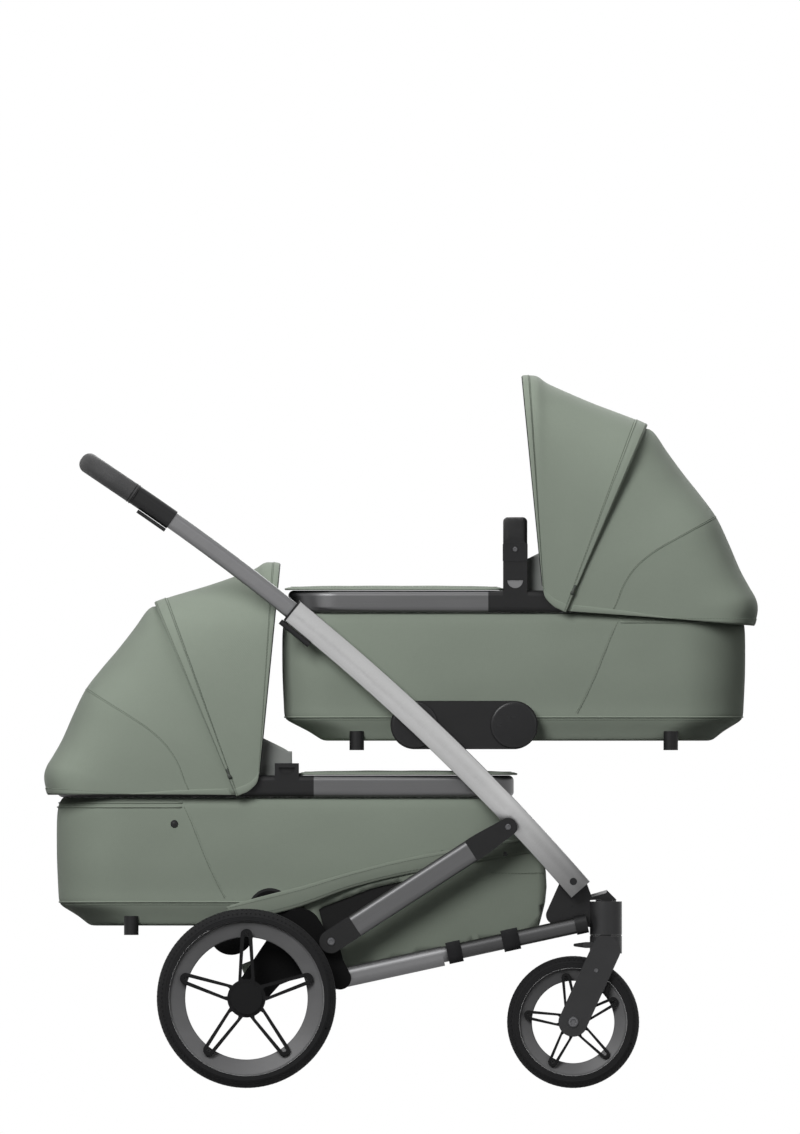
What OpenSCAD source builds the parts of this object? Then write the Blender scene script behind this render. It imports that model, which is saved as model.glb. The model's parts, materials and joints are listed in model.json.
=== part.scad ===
// Twin pram: two carrycots, one above and ahead of the other, on a folding four-wheel chassis.
// Front is +X, left is +Y, up is +Z and the floor is z = 0. Sizes are in millimetres.

/* [Wheels] */
// outside diameter of a rear wheel
rear_wheel_d = 296; // [288:2:304]
// outside diameter of a front wheel
front_wheel_d = 218; // [208:2:222]
// width of a rear tyre
rear_tyre_w = 42; // [36:1:43]
// width of a front tyre
front_tyre_w = 36; // [30:1:38]
// height of a tyre's section outside its rim
tyre_h = 20; // [16:1:24]
// radial height of a rear rim's ring
rear_rim_h = 27; // [23:1:30]
// radial height of a front rim's ring
front_rim_h = 21; // [18:1:24]
// width of a rear rim
rear_rim_w = 30; // [26:1:34]
// width of a front rim
front_rim_w = 26; // [22:1:30]
// spoke loops in each wheel
spoke_count = 5; // [4:1:6]
// thickness of each bar of a spoke loop
spoke_bar = 6.4; // [5:0.2:7]
// gap inside a spoke loop at the hub
loop_hub_w = 16; // [13:1:17]
// gap inside a spoke loop at the rim
loop_tip_w = 6.5; // [5:0.5:8]

/* [Stance] */
// distance of the rear axle behind the middle
rear_axle_back = 255; // [245:1:265]
// distance from the rear axle to the front axles
wheelbase = 539; // [530:1:550]
// gap between a strut and a rear tyre
wheel_gap = 3.5; // [2.5:0.5:12]
// distance of a swivel axis inside the outer face of its bracket
swivel_in = 6; // [4:0.5:8]
// distance of a front axle behind its swivel axis
trail = 54; // [48:1:60]

/* [Mast] */
// radius of the bow that both mast tubes follow
mast_bow_r = 3764; // [3000:1:5000]
// gap between a hood and a mast tube
mast_gap = 1.5; // [1:0.5:4]
// width of a mast tube
mast_w = 26; // [24:1:28]
// depth of a mast tube
mast_depth = 41; // [36:1:44]
// length of a mast tube from its fold pivot to its mouth
mast_l = 643; // [600:1:680]
// distance of the fold pivot ahead of the middle
fold_x = 284.4; // [278:1:290]
// height of the fold pivot
fold_z = 340.8; // [335:1:346]

/* [Handle] */
// width of a sliding tube
slide_w = 18; // [16:1:19]
// depth of a sliding tube
slide_depth = 29; // [24:1:31]
// length of sliding tube that shows below its collar
slide_out = 250; // [200:1:280]
// length of a collar below the grip
collar_l = 74; // [60:1:84]
// length of the grip along the handle
grip_l = 107; // [100:1:120]
// width of the grip's section
grip_w = 30; // [26:1:34]
// depth of the grip's section
grip_depth = 34; // [30:1:38]
// bend radius of the grip's corners
grip_bend_r = 55; // [40:1:70]

/* [Strut] */
// slope of a strut in degrees
strut_slope = 32.9; // [31:0.1:34]
// length of a strut between its two pivots
strut_l = 348; // [335:1:355]
// width of a strut
strut_w = 18; // [15:1:19]
// depth of a strut
strut_depth = 38.5; // [34:0.5:42]
// distance of a strut's lower pivot behind the middle
strut_back = 115.5; // [110:0.5:120]
// height of a strut's lower pivot
strut_z = 241.7; // [238:0.1:246]

/* [Lower frame] */
// slope of a lower tube in degrees
lower_slope = 12.3; // [11.5:0.1:13]
// length of a lower tube
lower_tube_l = 404; // [395:1:410]
// length of its thick rear part
lower_thick_l = 164; // [140:1:180]
// width of a lower tube
lower_tube_w = 25; // [23:1:26]
// depth of its thick rear part
lower_thick_d = 33; // [30:1:36]
// depth of its slim front part
lower_slim_d = 26.4; // [26.4:0.2:30]
// distance of its rear end behind the middle
lower_back = 91; // [86:1:96]
// height of its rear end
lower_z = 183; // [179:1:187]
// width of the rear hub plates
hub_plate_t = 25.5; // [22:0.5:26]

/* [Front swivel] */
// radius of a swivel housing
swivel_r = 26.5; // [24:0.5:28]
// height of a swivel housing's lower face
swivel_z = 253; // [250:1:256]
// height of a swivel housing
swivel_h = 55; // [48:1:58]
// thickness of a fork leg
fork_leg_t = 7; // [5:0.5:9]
// radius of a fork leg's end round the axle
fork_end_r = 24; // [20:1:28]

/* [Cots] */
// length of a cot's tub at its top edge
tub_l = 762; // [750:1:766]
// width of a cot over its rim
cot_w = 402; // [392:1:410]
// height of a tub
tub_h = 212; // [206:1:218]
// height of the seam above the bottom of a tub
seam_h = 37; // [32:1:42]
// depth of a rim tube
rim_d = 36; // [34:1:40]
// width of a rim tube
rim_w = 18; // [15:1:20]
// bend radius of the rim at the foot end
foot_bend_r = 80; // [70:1:100]
// bend radius of the rim at the head end
head_bend_r = 105; // [90:1:120]
// distance of each cot's middle from the middle of the pram
cot_offset = 186; // [180:1:192]
// height of the upper cot's bottom
upper_cot_z = 573; // [568:1:580]
// height of the lower cot's bottom
lower_cot_z = 268; // [265:1:274]
// thickness of a mattress
mattress_t = 44; // [30:1:60]

/* [Hoods] */
// distance that a hood stands out past the rim on each side
hood_side = 12; // [11.5:0.5:14]
// height of a hood above its pivot
hood_h = 375; // [350:1:390]
// reach of a hood behind its pivot
hood_reach = 333; // [330:1:340]
// thickness of the hood cloth with its lining
hood_t = 2.5; // [2:0.1:3]
// distance of a hood's pivot from the middle of its cot
hood_pivot_u = 70; // [66:1:74]

/* [Carry bar] */
// height of the carry bar's knuckle above the cot's bottom
bar_knuckle_z = 316; // [312:1:320]
// height of the carry bar's top above the cot's bottom
bar_top_z = 369; // [366:1:384]
// width of the carry bar
bar_w = 40; // [34:1:42]
// thickness of the carry bar
bar_t = 16; // [12:1:18]

/* [Basket] */
// length of the basket
basket_l = 399; // [390:1:400]
// height of the basket
basket_h = 222; // [215:1:230]
// gap between the basket and an adapter plate
basket_gap = 3.5; // [3:0.5:5]
// thickness of the basket's walls
basket_t = 3; // [2:0.5:3]

/* [Hidden] */
$fn = 64;
bow_fn = 720;
oval_fn = 48;

// clearances: running fits, seats inside one piece, gaps between moving pieces, and the overrun of cuts
run_gap = 0.05;
seat_gap = 0.1;
clear_gap = 0.4;
over = 2;
band_share = 0.999;

// wheels and axles
tyre_crown_share = 0.57;
rim_dish = 3;
spoke_t = 16;
spoke_proud = 1;
rim_lap = 14;
web_r_share = 1.22;
front_spoke_share = 0.78;
rear_cap_r = 26;
front_cap_r = 20;
cap_t = 4;
hub_wall = 6;
rear_hub_w = 42;
front_hub_w = 38;
axle_r = 8;
axle_tube_r = 11;
front_axle_r = 6;

// masts, handle and sliders
mast_angle = 41.2;
mast_tail = 18;
mast_plug = 60;
flank_r = 34;
flank_out = 4;
fold_pin_r = 6;
ring_t = 3.5;
ring_proud = 0.4;
slide_in = 300;
collar_wall = 2.2;
slider_l = 62;
slider_t = 9;
slider_w = 20;
slider_past = 6;
trigger_l = 56;
trigger_t = 6;
trigger_w = 18;
adapter_t = 8;
adapter_r = 40;
adapter_span = 163.5;
adapter_step = 2.5;
adapter_edge = 1.5;
lower_adapter_r = 33;
lower_tail_r = 38;
lower_neck_r = 20;
stub_r = 6;
stub_l = 6.5;

// struts, hubs and lower tubes
strut_gap = 1;
strut_pin_r = 6;
strut_foot_l = 47;
strut_tube_l = 228;
strut_tip_r = 15;
hub_axle_r = 26;
hub_top_r = 36;
hub_low_r = 27;
hub_top_x = 88;
hub_top_z = 113;
hub_low_x = 134;
hub_low_z = 54;
hub_boss_r = 20;
tube_socket = 20;
lower_step = 1;
lower_tail_z = 256;
lower_tail_x = 280;
sleeve_l = 16;
sleeve_past = 4;
sleeve_wall = 2.5;

// front brackets, swivels and forks
bracket_gap = 3.5;
bracket_t = 7.5;
bracket_eye_r = 20;
bracket_arm_r = 15;
bracket_heel = 45;
cross_tube_r = 9;
stem_r = 9;
stem_l = 35;
crown_r = 26.5;
crown_h = 29;
crown_gap = 2;
fork_gap = 1;
lever_l = 18;
lever_w = 24;
lever_r = 5;
lever_tip_r = 2.5;
lever_pin_r = 2;
lever_lug_t = 4;
lever_out = 33;
lever_drop = 15;
release_back = 30;
release_fore = 18;
release_h = 16;
release_peak = 2;
release_heel_h = 7;
release_w = 23;
release_travel = 2;
plunger_l = 14;
plunger_gap = 0.35;
pedal_r = 16;
pedal_tip_r = 7;
pedal_fore = 30;
pedal_rise = 26;
pedal_w = 120;

// cots
corner_steps = 6;
tub_wall = 6;
tub_floor = 8;
tub_inset = 5;
seam_inset = 8;
bottom_inset = 23;
foot_rake = 65;
head_rake = 54;
foot_r = 12;
foot_drop = 15.5;
foot_rise = 16;
foot_u = 259;
foot_in = 20;
mount_z = 26;
mount_r = 36;
mount_wall_gap = 0.8;
lower_mount_u = 30;
notch_share = 0.58;
joint_u = 42;
rim_end = 2;
mattress_gap = 4;
mattress_seam = 3;
mattress_top = 12;
apron_edge = 4;
apron_crown = 3;
apron_lap = 5;
apron_end_r = 25;
flap_t = 3;
flap_gap = 2.5;
flap_u = 8;
flap_rise = 33;
flap_slope_u = 62;
flap_slope_z = 36;

// carry bar and its sockets
post_u = 2.4;
ear_gap = 0.5;
knuckle_pin_r = 4;
bar_bend_r = 34;
socket_rise = 20;
moon_r = 13;
moon_z = 265;
moon_depth = 6;
moon_travel = 3;
empty_moon_z = 261;
moon_cover = 1;

// hoods
arch_steps = 20;
hood_lap = 7;
front_round = 3.6;
rear_round = 3;
side_round = 4.2;
tail_round = 5;
hood_pivot_z = 227;
lower_rise_share = 0.08;
hood_pin_r = 4;
bow_t = 3;
bow_w = 10;
bow_eye_r = 9;
bow_inside = 6;
bow_top_u_share = -0.14;
bow_top_w_share = 0.976;
front_top_shares = [[-0.168, 1], [-0.099, 1], [-0.02, 0.955], [0.396, 0.805], [0.456, 0.783]];
front_base_shares = [[-0.066, 0.067], [-0.051, 0.027], [-0.03, 0.003], [0.02, -0.028], [0.048, -0.04]];
rear_top_shares = [[0.42, 0.774], [0.48, 0.752], [0.798, 0.365], [0.985, 0.035], [1, 0], [0.982, -0.1]];
rear_base_shares = [[0.05, -0.035], [0.066, -0.04], [0.29, -0.067], [0.52, -0.08], [0.55, -0.09], [0.57, -0.1]];

// basket outline as shares of its length and height, from its low rear corner
basket_x = -160;
basket_z = 190;
basket_side_shares = [
  [0.108, 0], [0.962, 0.324], [0.985, 0.45], [0.998, 0.58], [1, 0.7], [0.99, 0.82], [0.97, 0.93], [0.947, 1],
  [0.81, 0.95], [0.604, 0.896], [0, 0.509], [0, 0.37]
];
basket_gap_shares = [[0.085, 0.16], [0.06, 0.345], [0.40, 0.6]];
basket_base_shares = [
  [0.06, 0.17], [0.108, 0], [0.962, 0.324], [0.985, 0.45], [0.998, 0.58], [1, 0.7], [0.99, 0.82], [0.97, 0.93],
  [0.947, 1]
];

// derived places
rear_r = rear_wheel_d / 2;
front_r = front_wheel_d / 2;
rear_axle = [-rear_axle_back, rear_r];
swivel_x = wheelbase - rear_axle_back + trail;
hood_w = cot_w + 2 * hood_side;
mast_y = hood_w / 2 + mast_gap;
strut_y = mast_y + mast_w + strut_gap;
hub_y = mast_y + hub_plate_t;
wheel_y = strut_y + strut_w + wheel_gap + rear_tyre_w / 2;
bracket_y = mast_y - bracket_gap;
swivel_y = bracket_y - swivel_in;
adapter_y = mast_y - adapter_t;
basket_y = adapter_y - basket_gap;
fold = [fold_x, fold_z];
bow_centre = fold - mast_bow_r * [cos(mast_angle), sin(mast_angle)];
collar_s = mast_l + slide_out;
grip_s = collar_s + collar_l;
strut_foot = [-strut_back, strut_z];
strut_dir = [cos(strut_slope), sin(strut_slope)];
strut_tip = strut_foot + strut_l * strut_dir;
lower_dir = [cos(lower_slope), sin(lower_slope)];
lower_up = [-sin(lower_slope), cos(lower_slope)];
lower_start = [-lower_back, lower_z];
heel = lower_start + (lower_tube_l - bracket_heel) * lower_dir + lower_slim_d * lower_up;
toe = [swivel_x - swivel_r, swivel_z + swivel_h / 2];
upper_seat = [cot_offset, upper_cot_z + mount_z];
lower_seat = [-cot_offset - lower_mount_u, lower_cot_z + mount_z];
rim_z = tub_h + rim_d / 2;
rim_top = tub_h + rim_d;
rim_y = (cot_w - rim_w) / 2;
tub_half = tub_l / 2;
flap_half = rim_y - ear_gap / 2 - bar_t - flap_gap;
hood_rear_w = hood_w - 2 * hood_lap;
bow_y = (hood_rear_w + hood_w) / 4 - hood_t / 2;
crown_z = swivel_z - crown_gap - crown_h;

function arc_angle(s) = mast_angle + s / mast_bow_r * 180 / PI;
function arc_point(s, out) = bow_centre + (mast_bow_r + out) * [cos(arc_angle(s)), sin(arc_angle(s))];
function basket_points(shares) = [for (p = shares) [basket_x + p[0] * basket_l, basket_z + p[1] * basket_h]];

// ring of points round a plan with its own corner radius at the foot end and at the head end
function plan_ring(f, h, w, rf, rh, z) = [
  for (i = [0:corner_steps]) let (a = -90 + 90 * i / corner_steps)
    [h - rh + rh * cos(a), -(w - rh) + rh * sin(a), z],
  for (i = [0:corner_steps]) let (a = 90 * i / corner_steps)
    [h - rh + rh * cos(a), w - rh + rh * sin(a), z],
  for (i = [0:corner_steps]) let (a = 90 + 90 * i / corner_steps)
    [-(f - rf) + rf * cos(a), w - rf + rf * sin(a), z],
  for (i = [0:corner_steps]) let (a = 180 + 90 * i / corner_steps)
    [-(f - rf) + rf * cos(a), -(w - rf) + rf * sin(a), z]
];

// arch across a hood from its base line over its top, rounded by an even power curve
function arch(base, top, half, power) = [
  for (i = [0:arch_steps]) let (a = -90 + 180 * i / arch_steps, c = pow(abs(cos(a)), 2 / power))
    [base[0] + (top[0] - base[0]) * c, half * sign(a) * pow(abs(sin(a)), 2 / power), base[1] + (top[1] - base[1]) * c]
];
function back(list) = [for (i = [len(list) - 1:-1:0]) list[i]];
function shrink(base, top, t) = base + (top - base) * (1 - t / norm(top - base));
function arch_ring(base, top, half, power, t) = concat(
  arch(base, top, half, power), back(arch(base, shrink(base, top, t), half - t, power))
);
function hood_place(share, rise) = [share[0] * hood_reach, share[1] * hood_h + rise * share[0] * hood_reach];

// solid through a row of rings; an arched row's ends are closed by a strip between its two edges
module skin(rings, arched = false) {
  n = len(rings[0]);
  m = len(rings);
  end = arched ? [for (i = [0:n / 2 - 2]) [i, i + 1, n - 2 - i, n - 1 - i]] : [[for (i = [0:n - 1]) i]];
  polyhedron(
    points = [for (r = rings) each r],
    faces = [
      each end,
      for (j = [0:m - 2]) for (i = [0:n - 1]) each [
        [j * n + i, (j + 1) * n + i, (j + 1) * n + (i + 1) % n],
        [j * n + i, (j + 1) * n + (i + 1) % n, j * n + (i + 1) % n]
      ],
      for (f = end) [for (i = back(f)) (m - 1) * n + i]
    ]
  );
}

// flat shape of two circles and the band between them, whose edges run a hair inside both circles
module link(p, q, rp, rq) {
  a = atan2(q[1] - p[1], q[0] - p[0]);
  b = acos((rp - rq) / norm(q - p));
  bp = rp * band_share;
  bq = rq * band_share;
  translate(p) circle(rp);
  translate(q) circle(rq);
  polygon([
    p + bp * [cos(a + b), sin(a + b)], q + bq * [cos(a + b), sin(a + b)],
    q + bq * [cos(a - b), sin(a - b)], p + bp * [cos(a - b), sin(a - b)]
  ]);
}

// flat oval: w across, d up, with flat flanks
module oval(w, d) {
  for (s = [-1, 1]) translate([0, s * (d - w) / 2]) circle(w / 2, $fn = oval_fn);
  translate([-w / 2, -(d - w) / 2]) square([w, d - w]);
}

// a flat shape drawn in X and Z, given thickness from y0 to y1
module slab(y0, y1) {
  translate([0, y1, 0]) rotate([90, 0, 0]) linear_extrude(y1 - y0) children();
}

// a rod along Y
module rod(p, r, y0, y1) {
  translate([p[0], y1, p[1]]) rotate([90, 0, 0]) cylinder(r = r, h = y1 - y0);
}

module pair() {
  children();
  mirror([0, 1, 0]) children();
}

module right_hand() {
  mirror([0, 1, 0]) children();
}

// a profile swept along the mast's bow from s0 to s1 at y
module along_bow(s0, s1, y) {
  translate([bow_centre[0], y, bow_centre[1]]) rotate([90, 0, 0]) rotate([0, 0, arc_angle(s0)])
    rotate_extrude(angle = arc_angle(s1) - arc_angle(s0), $fn = bow_fn) translate([mast_bow_r, 0]) children();
}

// a profile swept along a straight line in X and Z
module along_line(p, slope, l, y) {
  translate([p[0], y, p[1]]) rotate([0, -slope, 0]) rotate([90, 0, 90]) linear_extrude(l) children();
}

// a profile swept round a U: two legs along +X, two bends and a bar across
module u_tube(leg, half, r) {
  for (s = [0, 1]) mirror([0, s, 0]) {
    translate([0, half, 0]) rotate([90, 0, 90]) linear_extrude(leg) children();
    translate([leg, half - r, 0]) rotate_extrude(angle = 90) translate([r, 0]) children();
  }
  translate([leg + r, half - r, 0]) rotate([90, 0, 0]) linear_extrude(2 * (half - r)) children();
}

// wheels, drawn round Z with their outer side up
module tyre(d, w) {
  color("#26272a") rotate_extrude($fn = 96) intersection() {
    translate([d / 2 - w * tyre_crown_share, 0]) circle(w * tyre_crown_share);
    translate([d / 2 - tyre_h, -w / 2]) square([tyre_h + over, w]);
  }
}

module spoke_blank(root, tip, share, grow) {
  tip_r = (loop_tip_w / 2 + spoke_bar) * share;
  link([root, 0], [tip - tip_r, 0], (loop_hub_w / 2 + spoke_bar) * share + grow, tip_r + grow);
}

module spoke_loops(root, tip, web, share) {
  hub_w = loop_hub_w * share;
  tip_w = loop_tip_w * share;
  bar = spoke_bar * share;
  for (i = [0:spoke_count - 1]) rotate([0, 0, i * 360 / spoke_count]) difference() {
    spoke_blank(root, tip, share, 0);
    link([web + (hub_w - bar) / 2, 0], [tip - tip_w / 2 - bar, 0], hub_w / 2, tip_w / 2);
  }
}

module rim(d, w, h, share) {
  out = d / 2 - tyre_h - seat_gap;
  in = out - h;
  color("#626366") difference() {
    rotate_extrude($fn = 96)
      polygon([[in, -w / 2 + rim_dish], [out, -w / 2], [out, w / 2], [in, w / 2 - rim_dish]]);
    for (i = [0:spoke_count - 1]) rotate([0, 0, i * 360 / spoke_count]) translate([0, 0, w / 2 - spoke_t])
      linear_extrude(spoke_t + over) spoke_blank(in / 2, in + rim_lap, share, seat_gap);
  }
}

module spider(d, w, h, cap_r, hub_w, bore_r, open, share) {
  in = d / 2 - tyre_h - seat_gap - h;
  web = cap_r * web_r_share;
  color("#2b2c2f") difference() {
    union() {
      translate([0, 0, w / 2 - spoke_t]) linear_extrude(spoke_t + spoke_proud)
        spoke_loops(cap_r / 2, in + rim_lap, web, share);
      translate([0, 0, w / 2 - spoke_t + spoke_proud]) cylinder(r = web, h = spoke_t - 2 * spoke_proud);
      translate([0, 0, -hub_w / 2]) cylinder(r = bore_r + hub_wall, h = hub_w / 2);
      translate([0, 0, -over]) cylinder(r = cap_r, h = hub_w / 2 + over);
    }
    translate([0, 0, -hub_w / 2 - over]) cylinder(r = bore_r, h = hub_w + 2 * over - (open ? 0 : cap_t + over));
  }
}

// places a wheel drawn round Z on the left side
module on_axle(x, y, z, turn) {
  translate([x, y, z]) rotate([-90, 0, 0]) rotate([0, 0, turn]) children();
}

rear_turn = -18;
front_turn = -27;
module rear_place() on_axle(rear_axle[0], wheel_y, rear_axle[1], rear_turn) children();
module front_place() on_axle(swivel_x - trail, swivel_y, front_r, front_turn) children();

module rear_tyre_left() rear_place() tyre(rear_wheel_d, rear_tyre_w);
module rear_tyre_right() right_hand() rear_tyre_left();
module rear_rim_left() rear_place() rim(rear_wheel_d, rear_rim_w, rear_rim_h, 1);
module rear_rim_right() right_hand() rear_rim_left();
module rear_spider_left() rear_place()
  spider(rear_wheel_d, rear_rim_w, rear_rim_h, rear_cap_r, rear_hub_w, axle_r + run_gap, false, 1);
module rear_spider_right() right_hand() rear_spider_left();
module front_tyre_left() front_place() tyre(front_wheel_d, front_tyre_w);
module front_tyre_right() right_hand() front_tyre_left();
module front_rim_left() front_place() rim(front_wheel_d, front_rim_w, front_rim_h, front_spoke_share);
module front_rim_right() right_hand() front_rim_left();
module front_spider_left() front_place()
  spider(front_wheel_d, front_rim_w, front_rim_h, front_cap_r, front_hub_w, front_axle_r + run_gap, true,
    front_spoke_share);
module front_spider_right() right_hand() front_spider_left();

// chassis
module rear_axle() {
  end = wheel_y + rear_hub_w / 2 - cap_t - clear_gap;
  color("#3a3b3e") {
    rod(rear_axle, axle_r, -end, end);
    rod(rear_axle, axle_tube_r, -mast_y, mast_y);
  }
}

module lower_tube(grow) {
  drop = (lower_thick_d - lower_slim_d) / 2 - lower_step;
  slim = lower_tube_w - 2 * lower_step;
  y = bracket_y + slim / 2;
  along_line(lower_start - tube_socket * lower_dir, lower_slope, lower_thick_l + tube_socket, y)
    oval(lower_tube_w + 2 * grow, lower_thick_d + 2 * grow);
  along_line(lower_start + drop * lower_up + lower_thick_l / 2 * lower_dir, lower_slope,
    lower_tube_l - lower_thick_l / 2, y) oval(slim + 2 * grow, lower_slim_d + 2 * grow);
}

module lower_tubes() {
  color("#c9cacb") pair() lower_tube(0);
}

module hub_outline() {
  top = rear_axle + [hub_top_x, hub_top_z];
  low = rear_axle + [hub_low_x, hub_low_z];
  link(rear_axle, top, hub_axle_r, hub_top_r);
  link(top, low, hub_top_r, hub_low_r);
  link(low, lower_start - tube_socket / 2 * lower_dir, hub_low_r, lower_thick_d / 2 + over);
  link(low, strut_foot, hub_low_r, strut_pin_r * 2);
  polygon([rear_axle, low, top]);
}

module rear_hubs() {
  color("#232427") pair() difference() {
    union() {
      slab(mast_y, hub_y) hub_outline();
      rod(rear_axle, hub_boss_r, hub_y, wheel_y - rear_hub_w / 2 - clear_gap);
      rod(strut_foot, strut_pin_r, hub_y, strut_y + strut_w);
    }
    rod(rear_axle, axle_r + run_gap, mast_y - over, wheel_y);
    lower_tube(seat_gap);
  }
}

// socket round the front end of a lower tube
module tube_sleeve() {
  drop = (lower_thick_d - lower_slim_d) / 2 - lower_step;
  slim = lower_tube_w - 2 * lower_step;
  along_line(lower_start + drop * lower_up + (lower_tube_l - sleeve_l) * lower_dir, lower_slope,
    sleeve_l + sleeve_past, bracket_y + slim / 2) oval(slim + 2 * sleeve_wall, lower_slim_d + 2 * sleeve_wall);
}

module front_brackets() {
  color("#232427") pair() difference() {
    union() {
      slab(bracket_y - bracket_t, bracket_y) {
        link(fold, heel, bracket_eye_r, bracket_arm_r);
        link(heel, toe, bracket_arm_r, bracket_arm_r);
        link(fold, toe, bracket_eye_r, bracket_arm_r);
      }
      rod(fold, fold_pin_r, bracket_y, mast_y + mast_w);
      tube_sleeve();
    }
    lower_tube(seat_gap);
    translate([swivel_x, swivel_y, swivel_z - over]) cylinder(r = swivel_r + seat_gap, h = swivel_h + 2 * over);
  }
}

module front_cross_tube() {
  color("#3a3b3e") rod(heel, cross_tube_r, -(bracket_y - bracket_t), bracket_y - bracket_t);
}

module swivel_housings() {
  color("#232427") pair() translate([swivel_x, swivel_y, swivel_z]) difference() {
    cylinder(r = swivel_r, h = swivel_h);
    translate([0, 0, -over]) cylinder(r = stem_r + run_gap, h = swivel_h + 2 * over);
  }
}

module wheel_release_left() {
  side = bracket_y - bracket_t - clear_gap;
  color("#2f3033") {
    translate([swivel_x, 0, swivel_z + swivel_h + release_travel + clear_gap])
      slab(side - release_w, side) polygon([
        [-release_back, 0], [release_fore, 0], [release_peak, release_h], [-release_back, release_heel_h]
      ]);
    translate([swivel_x, swivel_y, swivel_z + swivel_h - plunger_l])
      cylinder(r = stem_r + run_gap - plunger_gap, h = plunger_l + release_travel + 2 * clear_gap);
  }
}
module wheel_release_right() right_hand() wheel_release_left();

module fork_left() {
  axle = [-trail, front_r];
  leg_y = front_hub_w / 2 + fork_gap;
  lever = [-lever_out, swivel_z - crown_gap - lever_drop];
  color("#232427") translate([swivel_x, swivel_y, 0]) {
    for (s = [0, 1]) mirror([0, s, 0]) {
      slab(leg_y, leg_y + fork_leg_t) link(axle, [0, crown_z + crown_h - fork_end_r], fork_end_r, fork_end_r);
      slab(lever_w / 2 + clear_gap, lever_w / 2 + clear_gap + lever_lug_t)
        link(lever, [-crown_r / 2, lever[1]], lever_r, lever_r);
    }
    rod(axle, front_axle_r, -leg_y, leg_y);
    rod(lever, lever_pin_r, -lever_w / 2 - over, lever_w / 2 + over);
    translate([0, 0, crown_z]) cylinder(r = crown_r, h = crown_h);
    translate([0, 0, crown_z]) cylinder(r = stem_r, h = crown_h + crown_gap + stem_l);
  }
}
module fork_right() right_hand() fork_left();

module swivel_lock_left() {
  lever = [-lever_out, swivel_z - crown_gap - lever_drop];
  color("#3a3b3e") translate([swivel_x, swivel_y, 0]) difference() {
    slab(-lever_w / 2, lever_w / 2) link(lever, lever - [lever_l, 0], lever_r, lever_tip_r);
    rod(lever, lever_pin_r + run_gap, -lever_w, lever_w);
  }
}
module swivel_lock_right() right_hand() swivel_lock_left();

module brake_pedal() {
  color("#2f3033") difference() {
    slab(-pedal_w / 2, pedal_w / 2)
      link(rear_axle, rear_axle + [pedal_fore, pedal_rise], pedal_r, pedal_tip_r);
    rod(rear_axle, axle_tube_r + run_gap, -pedal_w, pedal_w);
  }
}

module basket() {
  inner = basket_y - basket_t;
  base = basket_points(basket_base_shares);
  color("#5d6a5c") {
    pair() slab(inner, inner + basket_t) difference() {
      polygon(basket_points(basket_side_shares));
      polygon(basket_points(basket_gap_shares));
    }
    slab(-inner, inner) for (i = [0:len(base) - 2]) link(base[i], base[i + 1], basket_t / 2, basket_t / 2);
  }
}

// plates that carry the cots, each with a stub that a cot's notch drops over
module adapter(seat, other, seat_r, other_r, neck_r) {
  color("#232427") {
    slab(adapter_y, mast_y - adapter_step) link(seat, other, neck_r, neck_r);
    rod(seat, seat_r - adapter_edge, adapter_y + adapter_edge, mast_y);
    rod(other, other_r - adapter_edge, adapter_y + adapter_edge, mast_y);
    rod(seat, stub_r, adapter_y - stub_l, mast_y - adapter_step);
  }
}

module upper_adapters() {
  pair() adapter(upper_seat, upper_seat - [adapter_span, 0], adapter_r, adapter_r, adapter_r);
}

module lower_adapters() {
  pair()
    adapter(lower_seat, [-lower_tail_x, lower_tail_z], lower_adapter_r, lower_tail_r, lower_neck_r);
}

// masts, handle and struts
// section of a mast: flat inside, bowed outside
module mast_section() {
  intersection() {
    translate([0, -flank_out / 2]) oval_across(mast_depth, mast_w + flank_out);
    translate([0, flank_r - mast_w / 2]) circle(flank_r, $fn = oval_fn);
  }
}

module masts() {
  y = mast_y + mast_w / 2;
  color("#c9cacb") pair() difference() {
    along_bow(-mast_tail, mast_l, y) mast_section();
    along_bow(mast_plug, mast_l + over, y) oval_across(slide_depth + 2 * clear_gap, slide_w + 2 * clear_gap);
    rod(fold, fold_pin_r + run_gap, mast_y - over, mast_y + mast_w + over);
  }
}

module oval_across(d, w) {
  rotate([0, 0, 90]) oval(w, d);
}

module mast_collars() {
  color("#232427") pair() along_bow(mast_l, mast_l + ring_t, mast_y + mast_w / 2) difference() {
    oval_across(mast_depth + 2 * ring_proud, mast_w + 2 * ring_proud);
    oval_across(slide_depth + 2 * clear_gap, slide_w + 2 * clear_gap);
  }
}

module fold_slider_left() {
  color("#2f3033") along_bow(mast_l + slider_past - slider_l, mast_l + slider_past, mast_y + mast_w / 2)
    translate([-mast_depth / 2 - ring_proud - clear_gap - slider_t / 2, 0]) oval(slider_t, slider_w);
}
module fold_slider_right() right_hand() fold_slider_left();

module slide_tubes() {
  color("#b9babc") pair() along_bow(mast_l - slide_in, grip_s, mast_y + mast_w / 2)
    oval_across(slide_depth, slide_w);
}

module handle_collars() {
  color("#232427") pair() along_bow(collar_s, grip_s, mast_y + mast_w / 2) difference() {
    oval_across(slide_depth + 2 * collar_wall, slide_w + 2 * collar_wall);
    oval_across(slide_depth + 2 * seat_gap, slide_w + 2 * seat_gap);
  }
}

module handle_trigger_left() {
  color("#3a3b3e") along_bow(grip_s - collar_l, grip_s - collar_l + trigger_l, mast_y + mast_w / 2)
    translate([-grip_depth / 2 - clear_gap - trigger_t / 2, 0]) oval(trigger_t, trigger_w);
}
module handle_trigger_right() right_hand() handle_trigger_left();

module handle_grip() {
  p = arc_point(grip_s, 0);
  color("#37373a") translate([p[0], 0, p[1]]) rotate([0, -arc_angle(grip_s) - 90, 0])
    u_tube(grip_l - grip_bend_r - grip_w / 2, mast_y + mast_w / 2, grip_bend_r) oval(grip_w, grip_depth);
}

module strut_tubes() {
  color("#c9cacb") pair()
    along_line(strut_foot + strut_foot_l * strut_dir, strut_slope, strut_tube_l, strut_y + strut_w / 2)
      oval(strut_w, strut_depth);
}

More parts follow.
